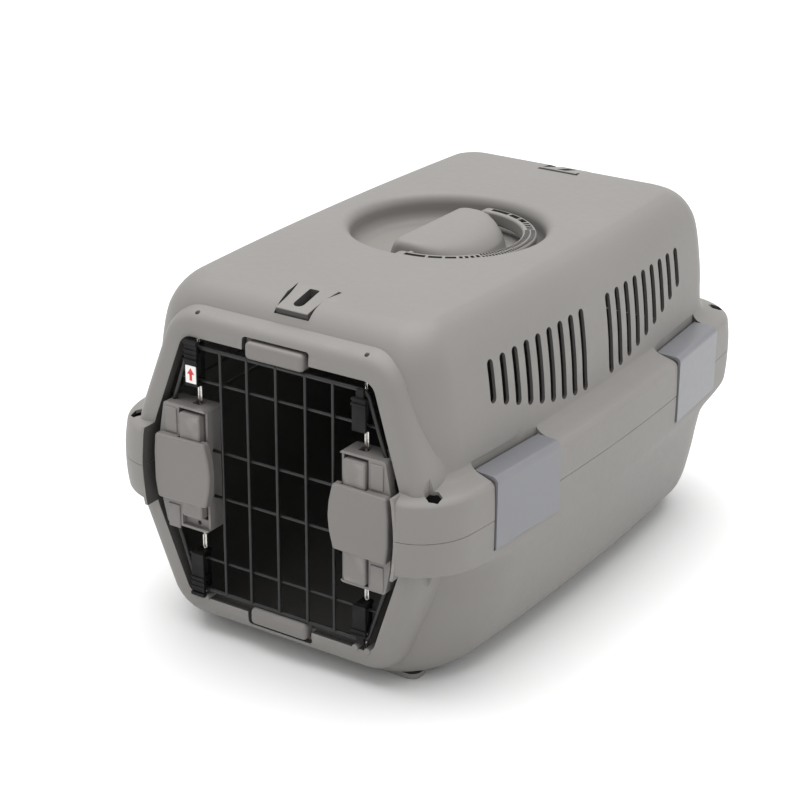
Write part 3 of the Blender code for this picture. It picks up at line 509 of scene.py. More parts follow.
def add_tube(bm, points, radius, sides=12, cyclic=False):
    """A round wire along points, with rounded ends where it is open."""
    points = [Vector(p) for p in points]
    count = len(points)
    radii = [radius] * count
    if not cyclic:
        start, end = (points[1] - points[0]).normalized(), (points[-1] - points[-2]).normalized()
        nose = [(0.15, 0.92), (0.5, 0.7), (0.92, 0.35)]
        points = [points[0] - start * radius * o for o, _ in nose[::-1]] + points
        points += [points[-1] + end * radius * o for o, _ in nose]
        radii = [radius * k for _, k in nose[::-1]] + radii + [radius * k for _, k in nose]
        count = len(points)
    rings = []
    side = None
    for i, point in enumerate(points):
        before = points[i - 1] if (i or cyclic) else point
        after = points[(i + 1) % count] if (i < count - 1 or cyclic) else point
        ahead = (after - before).normalized()
        if side is None:
            side = ahead.orthogonal().normalized()
        side = (side - ahead * side.dot(ahead)).normalized()
        up = ahead.cross(side)
        angles = [k / sides * math.tau for k in range(sides)]
        rings.append([point + radii[i] * (side * math.cos(a) + up * math.sin(a)) for a in angles])
    if not cyclic:
        return add_loft(bm, rings)
    first = rings[0]
    turn = min(range(sides), key=lambda k: (first[k] - rings[-1][0]).length)
    rings.append(first[turn:] + first[:turn])
    add_loft(bm, rings, False, False)
    bmesh.ops.remove_doubles(bm, verts=bm.verts, dist=1e-6)
    return bm


def mirror_x(side, points):
    """(x, z) corners given for +X, counter-clockwise from -Y, on either side."""
    moved = [Vector((side * x, z)) for x, z in points]
    return moved if side > 0 else moved[::-1]


def side_box(side, low, high):
    """A box's corners given for +X, on either side."""
    xs = sorted((side * low[0], side * high[0]))
    return (xs[0], *low[1:]), (xs[1], *high[1:])


def bolt_corners(side, sz, low, high):
    """A box's corners given for the upper bolt on +X, at any of the four bolts."""
    (x0, y0, z0), (x1, y1, z1) = side_box(side, low, high)
    z0, z1 = sorted((sz * z0, sz * z1))
    return (x0, y0, z0), (x1, y1, z1)


# ---------------- shells

def shell_rings(levels, inset=0.0):
    """One plan outline per level, moved inward by a distance in metres."""
    rings = []
    for z, end_inset, side_inset, radius in levels:
        outline = plan_outline(LENGTH / 2 - end_inset * MM - inset, WIDTH / 2 - side_inset * MM - inset,
                               radius * MM - inset)
        rings.append([Vector((p.x, p.y, SEAM + z * MM)) for p in outline])
    return rings


def roof_rings(last_ring):
    """Rings from the roof's edge over its soft crown into the round bowl and down to its floor."""
    angles = [math.atan2(p.y, p.x) for p in last_ring]
    lip, wall, steps = 10 * MM, 11 * MM, 7
    profile = [(BOWL_RADIUS, ROOF)]
    for step in range(1, steps + 1):
        a = step / steps * math.pi / 2
        profile.append((BOWL_RADIUS - lip * math.sin(a), ROOF - lip * (1 - math.cos(a))))
    for step in range(steps + 1):
        a = step / steps * math.pi / 2
        profile.append((BOWL_RADIUS - lip - wall * (1 - math.cos(a)), BOWL_FLOOR + wall * (1 - math.sin(a))))
    bowl = [[Vector((r * math.cos(a), r * math.sin(a), SEAM + z)) for a in angles] for r, z in profile]
    crown = []
    for t in (0.12, 0.28, 0.46, 0.64, 0.82):
        ring = [p.lerp(q, t) for p, q in zip(last_ring, bowl[0])]
        for p in ring:
            p.z = last_ring[0].z + (SEAM + ROOF - last_ring[0].z) * (1 - (1 - t) ** 2.4)
        crown.append(ring)
    floor = [[Vector((p.x * k, p.y * k, SEAM + BOWL_FLOOR)) for p in bowl[-1]] for k in (0.8, 0.6)]
    return crown + bowl + floor


def sheet_of(name, bm):
    """A surface thickened inward to the wall of the moulding."""
    made = to_object(name, bm)
    modifier = made.modifiers.new("sheet", "SOLIDIFY")
    modifier.thickness = SHEET
    modifier.offset = -1
    modifier.use_even_offset = True
    modifier.thickness_clamp = 0
    return settle(made)


def collar(top):
    """Half of the rounded collar around the door, as a bent sheet that stops at the shell's inner side."""
    rings = []
    for distance, back in COLLAR_PROFILE:
        outline = opening_outline(distance)
        rings.append([from_seam(p.x, face_y(p.y) + back, p.y) for p in outline])
    made = sheet_of("collar", loft(rings[::-1], False, False))
    inside = shell_rings(refine((TOP_LEVELS if top else BOTTOM_LEVELS)[2:], 2), SHEET)
    sign = 1 if top else -1
    for ring in inside:
        for p in ring:
            if abs(p.z - SEAM) > 30 * MM:
                p.z -= sign * SHEET
    for p in inside[0]:
        p.z -= sign * 5 * MM
    boolean(made, loft(inside if top else inside[::-1]))
    far = 400
    low, high = (-far, HALF_SEAM_GAP / MM) if top else (-HALF_SEAM_GAP / MM, far)
    boolean(made, box((-far, -far, low), (far, far, high)))
    return made


def band_return(side, low, high):
    """The wall beside the door where the flange band turns back towards the door."""
    heights = [low + (high - low) * i / 12 for i in range(13)]
    right = [p for p in opening_outline(0) if p.x > 0]

    def edge(z):
        for p, q in zip(right, right[1:]):
            if p.y <= z <= q.y:
                return p.x + (q.x - p.x) * (z - p.y) / (q.y - p.y)
        return OPENING[1][0]

    front, back = BAND_Y / MM, -244
    corners = ((-1, front + 1.2), (-1, back), (2.8, back), (2.8, front + 0.3), (0, front + 0.3))
    loops = []
    for z in heights:
        loops.append([from_seam(side * (edge(z) + out), y, z) for out, y in corners])
    return loft(loops if side < 0 else [loop[::-1] for loop in loops])


def clip_frame(sx, sy):
    """World matrix of a clip's own frame: u outward from the flange, v along it, w up from the seam."""
    y = sy * CLIP_Y
    x = sx * WIDTH / 2 * (1 - BOW * (y / (LENGTH / 2)) ** 2)
    u = Matrix.Rotation(sx * sy * CLIP_TURN, 3, "Z") @ Vector((sx, 0, 0))
    v = Vector((0, 0, 1)).cross(u)
    place = Matrix((u, v, Vector((0, 0, 1)))).transposed().to_4x4()
    place.translation = Vector((x, y, SEAM))
    return place


CLIP_SEATS = [(sx, sy) for sx in (-1, 1) for sy in (-1, 1)]


def clip_group(outline, half, offsets=(0,)):
    """The same bars at all four clips: an outline in their (u, w) plane, in millimetres."""
    bars = bmesh.new()
    for sx, sy in CLIP_SEATS:
        place = clip_frame(sx, sy)
        for v in offsets:
            ends = (v + half, v - half)
            add_loft(bars, [[place @ Vector((u * MM, end * MM, w * MM)) for u, w in outline] for end in ends])
    return bars


def clip_seats(shell, top):
    """Backing behind each clip, the pocket that the clip lies in, and a groove along both of its ends."""
    half = CLIP_WIDTH / 2
    if top:
        pad = [(-8, 0.15), (-2.1, 0.15), (-2.1, 28), (-4.8, 31.8), (-12, 34.6), (-22, 37.4), (-25.2, 41),
               (-27.6, 43.5), (-29.5, 42), (-29.5, 31), (-8, 29)]
        pocket = [(8, -1), (8, 45), (-25.5, 45), (-25.5, 34), (-3.6, 34), (-2.3, 32.7), (-2.3, -1)]
        groove = [(8, -1), (8, 45), (-25.5, 45), (-25.5, 32.2), (-5.6, 32.2), (-5.6, -1)]
    else:
        pad = [(-8, -0.15), (-8, -31), (-4.8, -31), (-2.1, -28), (-2.1, -0.15)]
        pocket = [(8, 1), (-2.3, 1), (-2.3, -27), (8, -27)]
        groove = [(8, 1), (-5.6, 1), (-5.6, -27), (8, -27)]
    boolean(shell, clip_group(pad, half + 5), "UNION")
    boolean(shell, clip_group(pocket, half + 1))
    boolean(shell, clip_group(groove, 0.75, (-half - 0.6, half + 0.6)))


def lug_holes(low, high):
    """Six-sided holes through the flange's four corners."""
    bm = bmesh.new()
    for sx, sy in CLIP_SEATS:
        x, y = sx * LUG_HOLE[0], sy * LUG_HOLE[1]
        add_cylinder(bm, from_seam(x, y, low), from_seam(x, y, high), LUG_HOLE[2] * MM, sides=6)
    return bm


def vent_cutters():
    """Two groups of upright slots through both side walls, and a short row through the rear wall."""
    bm = bmesh.new()
    for group in (-1, 1):
        for i in range(VENTS_PER_GROUP):
            y = group * (24 + i * VENT_PITCH)
            ring = slot_ring(47 + 36 * (i / (VENTS_PER_GROUP - 1)) ** 1.6, 120)
            add_loft(bm, [[Vector((end, y * MM + s, z)) for s, z in ring] for end in (-0.2, 0.2)])
    for i in range(-3, 4):
        ring = slot_ring(74 + 1.2 * i * i, 115)
        add_loft(bm, [[Vector((i * VENT_PITCH * MM - s, y, z)) for s, z in ring] for y in (0.2, 0.3)])
    return bm


def slot_ring(bottom, top, steps=8):
    """An upright slot with round ends, as (across, height) in metres."""
    ring, half = [], VENT_WIDTH / 2
    for z, start in ((top - half, 0), (bottom + half, math.pi)):
        for step in range(steps + 1):
            a = start + math.pi * step / steps
            ring.append((half * math.cos(a) * MM, SEAM + (z + half * math.sin(a)) * MM))
    return ring


def loaf(scale, base, top):
    """The raised loaf in the bowl: a D in plan that slopes down gently to +X."""
    table = refine([(0, 49, 27.5, 61.5), (0.12, 47.2, 26.8, 61), (0.45, 43, 25, 60.5), (0.8, 31, 22, 59),
                    (0.95, 18, 19, 55.5), (1, 5, 15, 49)], 4)
    rings = []
    for height, right, left, half in table:
        right, left, half = right - scale, left - scale, half - scale
        ring = []
        for step in range(33):
            a = -math.pi / 2 + math.pi * step / 32
            ring.append(Vector((-4 + (right + 4) * math.copysign(abs(math.cos(a)) ** 0.86, math.cos(a)),
                                half * math.sin(a))))
        corner = min(8.0, left - 6)
        turn_x, turn_y = -left + corner, half - corner
        for step in range(7):
            a = math.pi / 2 + step / 6 * math.pi / 2
            ring.append(Vector((turn_x + corner * math.cos(a), turn_y + corner * math.sin(a))))
        ring += [Vector((-left, y * turn_y)) for y in (0.6, 0.2, -0.2, -0.6)]
        for step in range(7):
            a = math.pi + step / 6 * math.pi / 2
            ring.append(Vector((turn_x + corner * math.cos(a), corner * math.sin(a) - turn_y)))
        z = base + (top - base) * height
        rings.append([from_seam(p.x, p.y, z) for p in ring])
    return loft(rings)


def anchor_frame(sy):
    """World matrix of a strap anchor: x across, y along the slope towards the middle, z out of the roof."""
    place = Matrix.Translation(from_seam(0, sy * ANCHOR_Y, ANCHOR_HEIGHT))
    turn = Matrix.Rotation(0 if sy < 0 else math.pi, 4, "Z")
    return place @ turn @ Matrix.Rotation(ANCHOR_TILT, 4, "X")


def anchor_outline(margin):
    """Shield outline: a straight narrow front, waisted sides and wide back corners."""
    right = []
    for step in range(13):
        t = step / 12
        right.append(Vector((16 + 4.6 * t**2.2 + margin, -20 + 40 * t)))
    right[0].y -= margin
    right[-1].y += margin
    return [p * MM for p in right + [Vector((-p.x, p.y)) for p in right[::-1]]]


def door_notch(sign):
    """The notch that the door's tab nests in."""
    half = NOTCH[0]
    low, high = sorted(sign * height for height in NOTCH[1:])
    return prism_y(rounded_polygon(rectangle(-half, half, low, high), 3, 6), -300, -253.5)


def pin_holes(sign):
    """Holes in the rim for the tips of the two rods."""
    bm = bmesh.new()
    for side in (-1, 1):
        ends = [from_seam(side * BOLT_X, ROD_Y, sign * z) for z in (110, 145)]
        add_cylinder(bm, *ends, 2.1 * MM)
    return bm


def rough_shell(name, top):
    """A shell's walls with its half of the collar, clip seats and lug holes."""
    levels = refine(TOP_LEVELS if top else BOTTOM_LEVELS, 4)
    rings = shell_rings(levels)
    if top:
        shell = sheet_of(name, loft(rings + roof_rings(rings[-1]), False, True))
    else:
        for k in (0.85, 0.6):
            rings.append([Vector((p.x * k, p.y * k, p.z)) for p in rings[len(levels) - 1]])
        shell = sheet_of(name, loft(rings[::-1], True, False))
    boolean(shell, prism_y(opening_outline(0.5), -300, -200))
    boolean(shell, collar(top), "UNION")
    for side in (-1, 1):
        low, high = (0.15, 36) if top else (-36, -0.15)
        boolean(shell, band_return(side, low, high), "UNION")
    boolean(shell, prism_y(opening_outline(0, CUT_STEPS), -300, -200))
    clip_seats(shell, top)
    boolean(shell, lug_holes(*((20, 60) if top else (-60, -20))))
    return shell


def paint_shade(made, chosen):
    """Gives the chosen faces the near-black inner material: painted shade, a darker colour where shade falls.
    """
    made.data.materials.append(MATERIALS["inner"])
    for face in made.data.polygons:
        if chosen(face):
            face.material_index = 1


def finish_shell(shell, body):
    """The faces that look inward and the walls of the slots and windows get the near-black inner material as
    painted shade.
    """
    finish_piece(shell, "shell", body, (body,), 32)
    middle = Vector((0, 0, SEAM))

    # painted shade: picks the faces that lie in shade, which get the darker colour
    def inside(face):
        centre, normal = face.center, face.normal
        height = (centre.z - SEAM) / MM
        in_vents = 45 < height < 122 and abs(centre.y) < 175 * MM and abs(centre.x) > 125 * MM
        vent = in_vents and abs(normal.x) < 0.5
        to_anchor = Vector((-centre.x, math.copysign(ANCHOR_Y * MM, centre.y) - centre.y, 0))
        window = height > 120 and to_anchor.length < 34 * MM and normal.z < 0.6 and normal.dot(to_anchor) > 0
        inward = normal.dot((middle - centre).normalized()) > 0.05
        if height > 134 and math.hypot(centre.x, centre.y) < 99 * MM:
            inward = normal.z < -0.1
        return plan_margin(centre) > 1.2 * MM and (vent or window or inward)

    paint_shade(shell, inside)


def plan_margin(point):
    """How far inside the shells' plan a point lies, roughly."""
    bow = 1 - BOW * (point.y / (LENGTH / 2)) ** 2
    return min(WIDTH / 2 * bow - abs(point.x), LENGTH / 2 - abs(point.y))


def build_top_shell():
    shell = rough_shell("carrier_top", True)
    boolean(shell, vent_cutters())
    boolean(shell, door_notch(1))
    boolean(shell, loaf(0, BOWL_FLOOR / MM - 1.5, 161), "UNION")
    boolean(shell, loaf(3, BOWL_FLOOR / MM - 6, 158))
    bores = bmesh.new()
    bore_end = Vector((0, 66 * MM, 0))
    on_axis = Vector((0, 0, HANDLE_AXIS_Z))
    add_cylinder(bores, on_axis - bore_end, on_axis + bore_end, (PIVOT_RADIUS + 0.3) * MM)
    boolean(shell, bores)
    windows = bmesh.new()
    for sy in (-1, 1):
        before = len(windows.verts)
        add_prism_z(windows, anchor_outline(1.2), -6.5 * MM, 12 * MM)
        windows.verts.ensure_lookup_table()
        bmesh.ops.transform(windows, matrix=anchor_frame(sy), verts=windows.verts[before:])
    boolean(shell, windows)
    boolean(shell, pin_holes(1))
    finish_shell(shell, "top_shell")


def build_bottom_shell():
    shell = rough_shell("carrier_bottom", False)
    skids = bmesh.new()
    for sy in (-1, 1):
        outline = rounded_polygon(rectangle(-116, 116, -11, 11), 9, 8)
        rings = []
        for z, inset in ((0, 1.5), (0.4, 0.6), (1.4, 0), (5.5, 0)):
            ring = offset_polygon(outline, -inset)
            rings.append([Vector((p.x * MM, p.y * MM + sy * SKID_Y * MM, z * MM)) for p in ring])
        add_loft(skids, rings)
    boolean(shell, skids, "UNION")
    boolean(shell, door_notch(-1))
    boolean(shell, pin_holes(-1))
    finish_shell(shell, "bottom_shell")
    nubs = bmesh.new()
    for side in (-1, 1):
        for x in (77.5, 89.5):
            ends = [from_seam(side * x, y, 0.5 - OPENING_TOP[1]) for y in (-262, -249)]
            add_cylinder(nubs, *ends, 3 * MM)
    piece("sill_nubs", nubs, "shell", "bottom_shell", edges=0.8)


def build_strap_anchor(name, sy):
    """A shield plate with a softened rim and a long slot that is round at its front."""
    bm = bmesh.new()
    rings = []
    outline = [p / MM for p in anchor_outline(-0.3)]
    for z, inset in ((-5, 0), (2.2, 0), (2.75, 0.25), (3.0, 0.8)):
        ring = offset_polygon(outline, -inset) if inset else outline
        rings.append([Vector((p.x, p.y, z)) * MM for p in ring])
    add_loft(bm, rings)
    anchor = to_object(name + "_plate", bm)
    cutter = bmesh.new()
    slot = rounded_polygon(rectangle(-4.9, 4.9, -12.5, 14.5), [4.8, 4.8, 1.5, 1.5], 8)
    add_prism_z(cutter, [p * MM for p in slot], -20 * MM, 20 * MM)
    boolean(anchor, cutter)
    round_edges(anchor, 0.35, 2, 50)
    finish_piece(anchor, "shell", "top_shell", (name,), 35)
    # painted shade on the plate's sides and the slot's walls, which sink under the roof's edge
    paint_shade(anchor, lambda face: abs(face.normal.z) < 0.4 and face.center.z < 2 * MM)
    anchor.data.transform(anchor_frame(sy))


# ---------------- handle and clips

def grip_widening(a):
    """How much the ring widens inward at an angle from its apex, as a share of its width."""
    return 0.12 * math.cos(a) ** 4


def handle_cells():
    """Long cells along the arms, then short ones, and two rows of narrow ones at the apex."""
    singles = [(-88.5, -73.5), (-71.5, -62), (-60, -52.5)]
    singles += [(-50.6 + 3.9 * i, -50.6 + 3.9 * i + 2.4) for i in range(4)]
    spans = [(low, high, 1) for low, high in singles]
    first, pitch, opening = -35.0, 2.36, 1.55
    spans += [(first + pitch * i, first + pitch * i + opening, 2) for i in range(15)]
    spans += [(-high, -low, rows) for low, high, rows in spans]
    outer = HANDLE_OUTER - 1.5
    cells = bmesh.new()
    for low, high, rows in spans:
        inner = HANDLE_OUTER - HANDLE_ARM + 2.6 - 12 * grip_widening(math.radians((low + high) / 2))
        middle = (inner + outer) / 2
        bands = [(inner - 0.6, middle - 0.55), (middle + 0.55, outer)]
        if rows == 1:
            bands = [(inner + 1.6, outer - 1.2)]
        for r0, r1 in bands:
            steps = max(1, round((high - low) / 3))
            arcs = [math.radians(low + (high - low) * k / steps) for k in range(steps + 1)]
            outline = [Vector((r1 * math.cos(a), r1 * math.sin(a))) for a in arcs]
            outline += [Vector((r0 * math.cos(a), r0 * math.sin(a))) for a in arcs[::-1]]
            add_prism_z(cells, [p * MM for p in outline], -4 * MM, 9 * MM)
    return cells


def build_handle():
    """A half ring that widens at its grip, with flattened ends, stub pivots and a row of moulded cells."""
    middle, half, count = HANDLE_OUTER - HANDLE_ARM / 2, HANDLE_ARM / 2, 72
    section = rounded_polygon(rectangle(-half, half, -half, half), 2.2, 4)
    rings = []
    for i in range(count + 1):
        a = -math.pi / 2 + math.pi * i / count
        radii = [middle + p.x + (p.x - half) * grip_widening(a) for p in section]
        rings.append([Vector((r * math.cos(a), r * math.sin(a), p.y)) * MM for r, p in zip(radii, section)])
    first, last = rings[0], rings[-1]
    for along, thin in ((-2.5, 1.0), (-5, 0.93), (-7, 0.8), (-8.5, 0.55), (-9.2, 0.25)):
        rings.insert(0, [Vector((along * MM, p.y, p.z * thin)) for p in first])
        rings.append([Vector((along * MM, p.y, p.z * thin)) for p in last])
    handle = to_object("handle_ring", loft(rings))
    boolean(handle, handle_cells())
    stubs = bmesh.new()
    for sy in (-1, 1):
        add_cylinder(stubs, (0, sy * 57 * MM, 0), (0, sy * 70 * MM, 0), PIVOT_RADIUS * MM)
    boolean(handle, stubs, "UNION")
    finish_piece(handle, "shell", "carry_handle", ("carry_handle",), 30)

    # painted shade: the cells' walls and floors get the darker inner colour
    def in_cell(face):
        radius = math.hypot(face.center.x, face.center.y) / MM
        return -4.5 < face.center.z / MM < 5.4 and 67.6 < radius < 77.9 and face.center.x > 0

    paint_shade(handle, in_cell)
    handle.data.transform(Matrix.Translation((0, 0, HANDLE_AXIS_Z)))


def quarter_arc(corner, radius, steps):
    """From the outer side to the top of a rounded upper outer corner."""
    centre = Vector(corner) - Vector((radius, radius))
    angles = [step / steps * math.pi / 2 for step in range(steps + 1)]
    return [centre + radius * Vector((math.cos(a), math.sin(a))) for a in angles]


def build_clip(name, sx, sy):
    """A bent plate with a soft bend, rounded lip corners, a hook rib inside and stub pivots."""
    outer, inner, lower_end, top, under = 0.9, -1.9, -26, 37.5, 34.4
    outline = [(outer, lower_end), *quarter_arc((outer, top), 5.5, 8)]
    outline += [(-12, 37.9), (-22.5, 38), (-24, 37.2), (-24.3, 36.2), (-23.6, 35), (-22.5, under)]
    outline += quarter_arc((inner, under), 3.2, 5)[::-1]
    outline += [(inner, -20.8), (-3.6, -22.6), (inner, -24.6), (inner, lower_end)]
    half = CLIP_WIDTH / 2
    bm = loft([[Vector((u, v, w)) * MM for u, w in outline] for v in (half, -half)])
    clip = to_object(name.replace("side_clip", "clip_plate"), bm)
    trim = bmesh.new()
    shape = rounded_polygon(rectangle(-24.4, 20, -half, half), [7, 1, 1, 7], 8)
    add_prism_z(trim, [p * MM for p in shape], -60 * MM, 60 * MM)
    boolean(clip, trim, "INTERSECT")
    round_edges(clip, 0.55, 3, 50)
    stubs = bmesh.new()
    for v in (-1, 1):
        ends = [Vector((CLIP_AXIS[0], v * w, CLIP_AXIS[1])) * MM for w in (half - 3, half + 3)]
        add_cylinder(stubs, *ends, 1.7 * MM)
    boolean(clip, stubs, "UNION")
    finish_piece(clip, "clip", name.replace("side_clip", "clip"), (name,), 30, clip_frame(sx, sy))


# ---------------- door

def frame_outline():
    """The run of the door's frame wire, as (x, z)."""
    radii, steps = [9, 60, 120, 60, 9] * 2, (8, 6, 4, 6, 8) * 2
    return rounded_polygon(offset_polygon(OPENING, -FRAME_INSET), radii, steps)


def frame_half_width(z):
    """Half the frame's width at a height."""
    right = sorted((p for p in offset_polygon(OPENING, -FRAME_INSET) if p.x > 0), key=lambda p: p.y)
    for p, q in zip(right, right[1:]):
        if p.y <= z <= q.y:
            return p.x + (q.x - p.x) * (z - p.y) / (q.y - p.y)
    return right[0].x


def build_grille():
    """The frame wire, rows behind it and columns in front of it, with a weld bead at each crossing."""
    bm = bmesh.new()
    frame_points = [from_seam(p.x, GRILLE_Y, p.y) for p in frame_outline()]
    add_tube(bm, frame_points, FRAME_WIRE * MM, 14, True)
    stations = (-1, -0.3, 0.3, 1)
    for height in WIRE_ROWS:
        for sign in (-1, 1):
            half = frame_half_width(height) - 0.5
            y = GRILLE_Y + WIRE_OFFSET
            add_tube(bm, [from_seam(k * half, y, sign * height) for k in stations], GRILLE_WIRE * MM)
    top = OPENING_TOP[1] - FRAME_INSET
    for x in sorted({s * c for s in (-1, 1) for c in WIRE_COLUMNS}):
        y = GRILLE_Y - WIRE_OFFSET
        add_tube(bm, [from_seam(x, y, k * top) for k in stations], GRILLE_WIRE * MM)
        for row in WIRE_ROWS:
            for sign in (-1, 1):
                place = Matrix.Translation(from_seam(x, GRILLE_Y, sign * row))
                bead = place @ Matrix.Diagonal((1, 0.8, 1, 1))
                bmesh.ops.create_icosphere(bm, subdivisions=2, radius=1.75 * MM, matrix=bead)
    piece("grille_wires", bm, "grille", "door", replaces=("door_grille",), smooth=60)


def build_latch(side):
    """A housing with a pocket for the buttons, two raised steps on it and the cover over its middle."""
    word = "left" if side < 0 else "right"
    foot = -53 if side < 0 else -58
    shape = ((67.5, foot), (111, foot), (116, -32), (116, 32), (111, 59.5), (67.5, 59.5))
    body = rounded_polygon(mirror_x(side, shape), 3, 4)
    housing = to_object(f"housing_{word}", prism_y(body, -267.5, -245.5))
    boolean(housing, box(*side_box(side, (69.8, -290, foot + 2.3), (95, -247.7, 57.2))))
    boolean(housing, box(*side_box(side, (60, -290, foot + 2.3), (70, -264.5, 57.2))))
    boolean(housing, box(*side_box(side, (98, -264.5, -50), (110, -200, 52))))
    boolean(housing, box(*side_box(side, (76, -256, -3), (91, -246, 3))), "UNION")
    if side < 0:
        boolean(housing, box((-95.5, -263, -52), (-69.5, -247.4, -43)), "UNION")
    slots = bmesh.new()
    for sz in (-1, 1):
        add_box(slots, *bolt_corners(side, sz, (79.2, -259, 42), (87.8, -250.3, 62)))
    boolean(housing, slots)
    if side < 0:
        ends = [from_seam(-80.5, y, -47.5) for y in (-290, -255.5)]
        boolean(housing, add_cylinder(bmesh.new(), *ends, 2.1 * MM))
    round_edges(housing, 0.9, 3, 50)
    finish_piece(housing, "latch", "door", (f"latch_housing_{word}",), 30)

    raised = bmesh.new()
    for sz in (-1, 1):
        add_box(raised, *bolt_corners(side, sz, (97.2, -268.7, 33.5), (109.5, -266.8, 55.5)))
    piece(f"housing_step_{word}", raised, "latch", "door", edges=0.9)

    shape = ((64.5, -26), (115.5, -27.5), (118, -12), (118, 14), (116.5, 31.5), (64.5, 32.5),
             (60.6, 16), (59.4, 3), (60.6, -10))
    radii = [3, 3, 20, 20, 3, 3, 20, 30, 20]
    outline = rounded_polygon(mirror_x(side, shape), radii if side > 0 else radii[::-1], 5)
    cover = to_object(f"cover_{word}", prism_y(outline, -275, -267.8, chamfer=2.2))
    boolean(cover, box(*side_box(side, (70.5, -271.4, -50), (95, -200, 50))))
    finish_piece(cover, "latch", "door", (f"latch_cover_{word}",), 30)


def build_tab(name, sz):
    """A bulging block that rests on the frame's wire."""
    low, high = sorted((sz * 113.5, sz * 129))
    shape = rounded_polygon(rectangle(-29, 29, low, high), 4.5, 6)
    tab = to_object(name.replace("door_tab", "tab"), prism_y(shape, -264, -253.8, chamfer=4.2))
    finish_piece(tab, "latch", "door", (name,), 30)


def bolt_point(side, sz, across, forward, height):
    """A point beside the axis of a bolt's rod."""
    return from_seam(side * BOLT_X + across, ROD_Y - forward, sz * height)


def build_button(side, sz, word, pushed_in):
    """A thumb plate with a rounded rim and the neck that reaches back to the rod."""
    plate, neck = ((16.5, 41), (38.7, 40.9)) if pushed_in else ((18, 54.5), (40, 51.5))
    (x0, _, z0), (x1, _, z1) = bolt_corners(side, sz, (72, 0, plate[0]), (93.5, 0, plate[1]))
    face = rounded_polygon(rectangle(x0, x1, z0, z1), 2.6, 5)
    bm = prism_y(face, -270.5, -259.4, chamfer=1.6)
    add_box(bm, *bolt_corners(side, sz, (78, -262, neck[0]), (89, -249, neck[1])))
    piece(f"button_{word}", bm, "latch", f"bolt_{word}", replaces=(f"latch_button_{word}",), smooth=30)


def build_rod(side, sz, word):
    """A straight rod with a round tip, and the small hairpin loop in front of it."""
    bm = bmesh.new()
    add_tube(bm, [bolt_point(side, sz, 0, 0, z) for z in (20, 40, 70, 100, 133.4)], 1.6 * MM, 16)
    bend, ahead = 1.5, 2.2
    turns = [k / 8 * math.pi for k in range(9)]
    loop = [bolt_point(side, sz, 0, ahead, 63)]
    loop += [bolt_point(side, sz, bend - bend * math.cos(a), ahead, 74 + bend * math.sin(a)) for a in turns]
    loop.append(bolt_point(side, sz, 2 * bend, ahead, 62))
    add_tube(bm, loop, 0.75 * MM, 10)
    piece(f"rod_{word}", bm, "rod", f"bolt_{word}", replaces=(f"latch_rod_{word}",), smooth=60)


def build_guide(side, sz, word):
    """A ridged black plate with two webs to its sleeve around the rod."""
    end = GUIDE_ENDS[side]
    blocks = [
        ((77, -264.6, 77.5), (90, -262.2, end)), ((78.5, -262.6, 76.5), (88.5, -249.5, 79.8)),
        ((79.5, -262.6, 101), (86.5, -249.5, 106)), ((79.8, -255.4, 76.5), (87.2, -249.6, min(end, 113)))]
    ridges = [(99.5, 2.2, 1.2), (104, 1.6, 0.7)]
    if side > 0:
        blocks.append(((79.8, -263.1, 104), (87.2, -260.4, 113.5)))
    else:
        ridges += [(108.5, 1.6, 0.9), (114.6, 3.2, 1.3)]
    blocks += [((76.4, -264.6 - proud, z), (90.6, -261.6, z + thick)) for z, thick, proud in ridges]
    bm = bmesh.new()
    for low, high in blocks:
        add_box(bm, *bolt_corners(side, sz, low, high))
    piece(f"guide_{word}", bm, "guide", f"bolt_{word}", replaces=(f"bolt_guide_{word}",), edges=0.45,
          segments=2, angle=50, smooth=30)


def build_spring(side, sz, word, pushed_in):
    coil, turns, per_turn, radius = [], 6, 20, 2.6
    start, run = 3.6, 32.6 if pushed_in else 33.9
    for step in range(turns * per_turn + 1):
        a = step / per_turn * math.tau
        z = start + run * step / (turns * per_turn)
        coil.append(bolt_point(side, sz, radius * math.cos(a), -radius * math.sin(a), z))
    bm = add_tube(bmesh.new(), coil, 0.5 * MM, 8)
    piece(f"spring_{word}", bm, "rod", "door", replaces=(f"latch_spring_{word}",), smooth=60)


def build_bolt(side, sz):
    """A button, a steel rod, a black guide and a spring; the lower left button stands pushed in."""
    word = ("lower" if sz < 0 else "upper") + ("_left" if side < 0 else "_right")
    pushed_in = side < 0 and sz < 0
    build_button(side, sz, word, pushed_in)
    build_rod(side, sz, word)
    build_guide(side, sz, word)
    build_spring(side, sz, word, pushed_in)


def build_label():
    """White film with a plain arrow, on the upper left guide."""
    film = rounded_polygon(rectangle(-88.4, -77.6, 80.6, 96), 0.6, 3)
    piece("label_film", prism_y(film, -265.1, -264.55), "label", "bolt_upper_left", replaces=("arrow_label",))
    arrow = bmesh.new()
    shaft = rectangle(-84.3, -81.7, 83, 89.1)
    head = ((-86.7, 88.6), (-79.3, 88.6), (-83, 94))
    for shape in (shaft, head):
        add_prism_y(arrow, shape, -265.22, -265.0)
    piece("label_arrow", arrow, "arrow", "bolt_upper_left")


# ---------------- studio

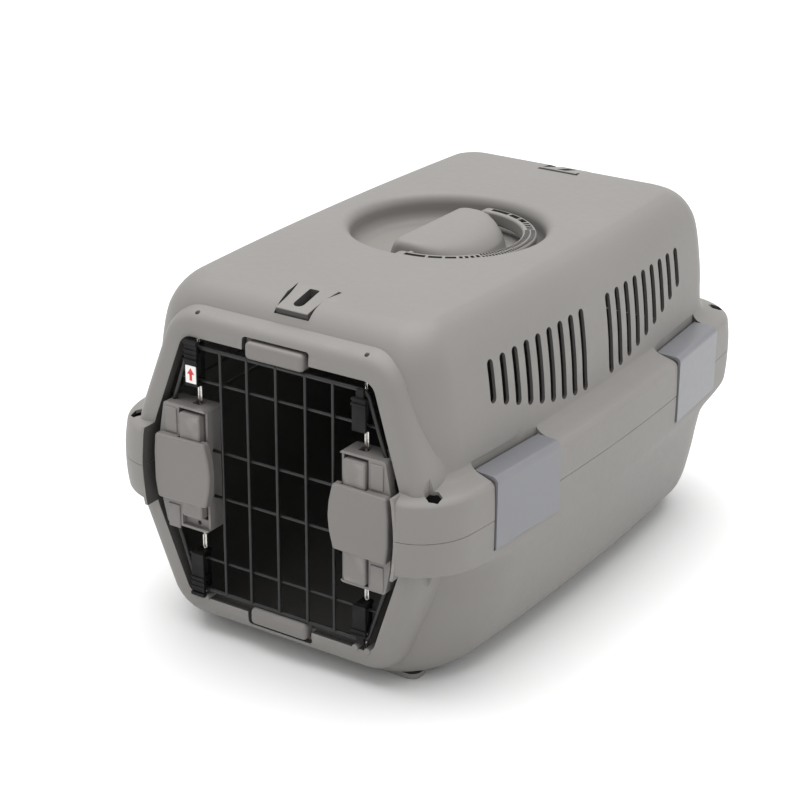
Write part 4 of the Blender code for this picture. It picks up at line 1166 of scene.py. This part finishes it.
def build_floor():
    floor = bmesh.new()
    bmesh.ops.create_grid(floor, x_segments=8, y_segments=8, size=6)
    made = to_object("floor", floor)
    made.data.materials.append(floor_material())


def build_camera():
    camera = bpy.data.cameras.new("camera")
    camera.lens = 93.6
    camera.sensor_width = 36
    camera.clip_end = 50
    holder = add_to_scene("camera", camera)
    holder.matrix_world = Matrix.Translation(CAMERA_PLACE) @ Matrix(CAMERA_AXES).transposed().to_4x4()
    bpy.context.scene.camera = holder


def build_light():
    """A broad overhead light, a weak fill from the right and behind, and an even white surround."""
    sun = bpy.data.lights.new("overhead", "SUN")
    sun.energy = 3.0
    sun.angle = math.radians(70)
    lamp = add_to_scene("overhead", sun)
    lamp.rotation_euler = Vector((0.12, -0.1, -1)).to_track_quat("-Z", "Y").to_euler()

    fill = bpy.data.lights.new("side_fill", "AREA")
    fill.shape = "RECTANGLE"
    fill.size, fill.size_y = 1.6, 1.2
    fill.energy = 7
    place, aim = Vector((2.4, 1.6, 1.0)), Vector((0.1, 0.1, 0.15))
    lamp = add_to_scene("side_fill", fill)
    lamp.location = place
    lamp.rotation_euler = (aim - place).to_track_quat("-Z", "Y").to_euler()

    world = bpy.data.worlds.new("studio")
    world.use_nodes = True
    background = world.node_tree.nodes["Background"]
    background.inputs["Color"].default_value = (1, 1, 1, 1)
    background.inputs["Strength"].default_value = 0.8
    bpy.context.scene.world = world
    bpy.context.scene.view_settings.view_transform = "Standard"


build_floor()
build_camera()
build_light()
build_top_shell()
build_bottom_shell()
build_strap_anchor("strap_anchor_front", -1)
build_strap_anchor("strap_anchor_rear", 1)
build_handle()
for clip_x, clip_y in CLIP_SEATS:
    clip_word = ("front" if clip_y < 0 else "rear") + ("_left" if clip_x < 0 else "_right")
    build_clip("side_clip_" + clip_word, clip_x, clip_y)
build_grille()
for latch_side in (-1, 1):
    build_latch(latch_side)
    for bolt_end in (-1, 1):
        build_bolt(latch_side, bolt_end)
build_tab("door_tab_upper", 1)
build_tab("door_tab_lower", -1)
build_label()
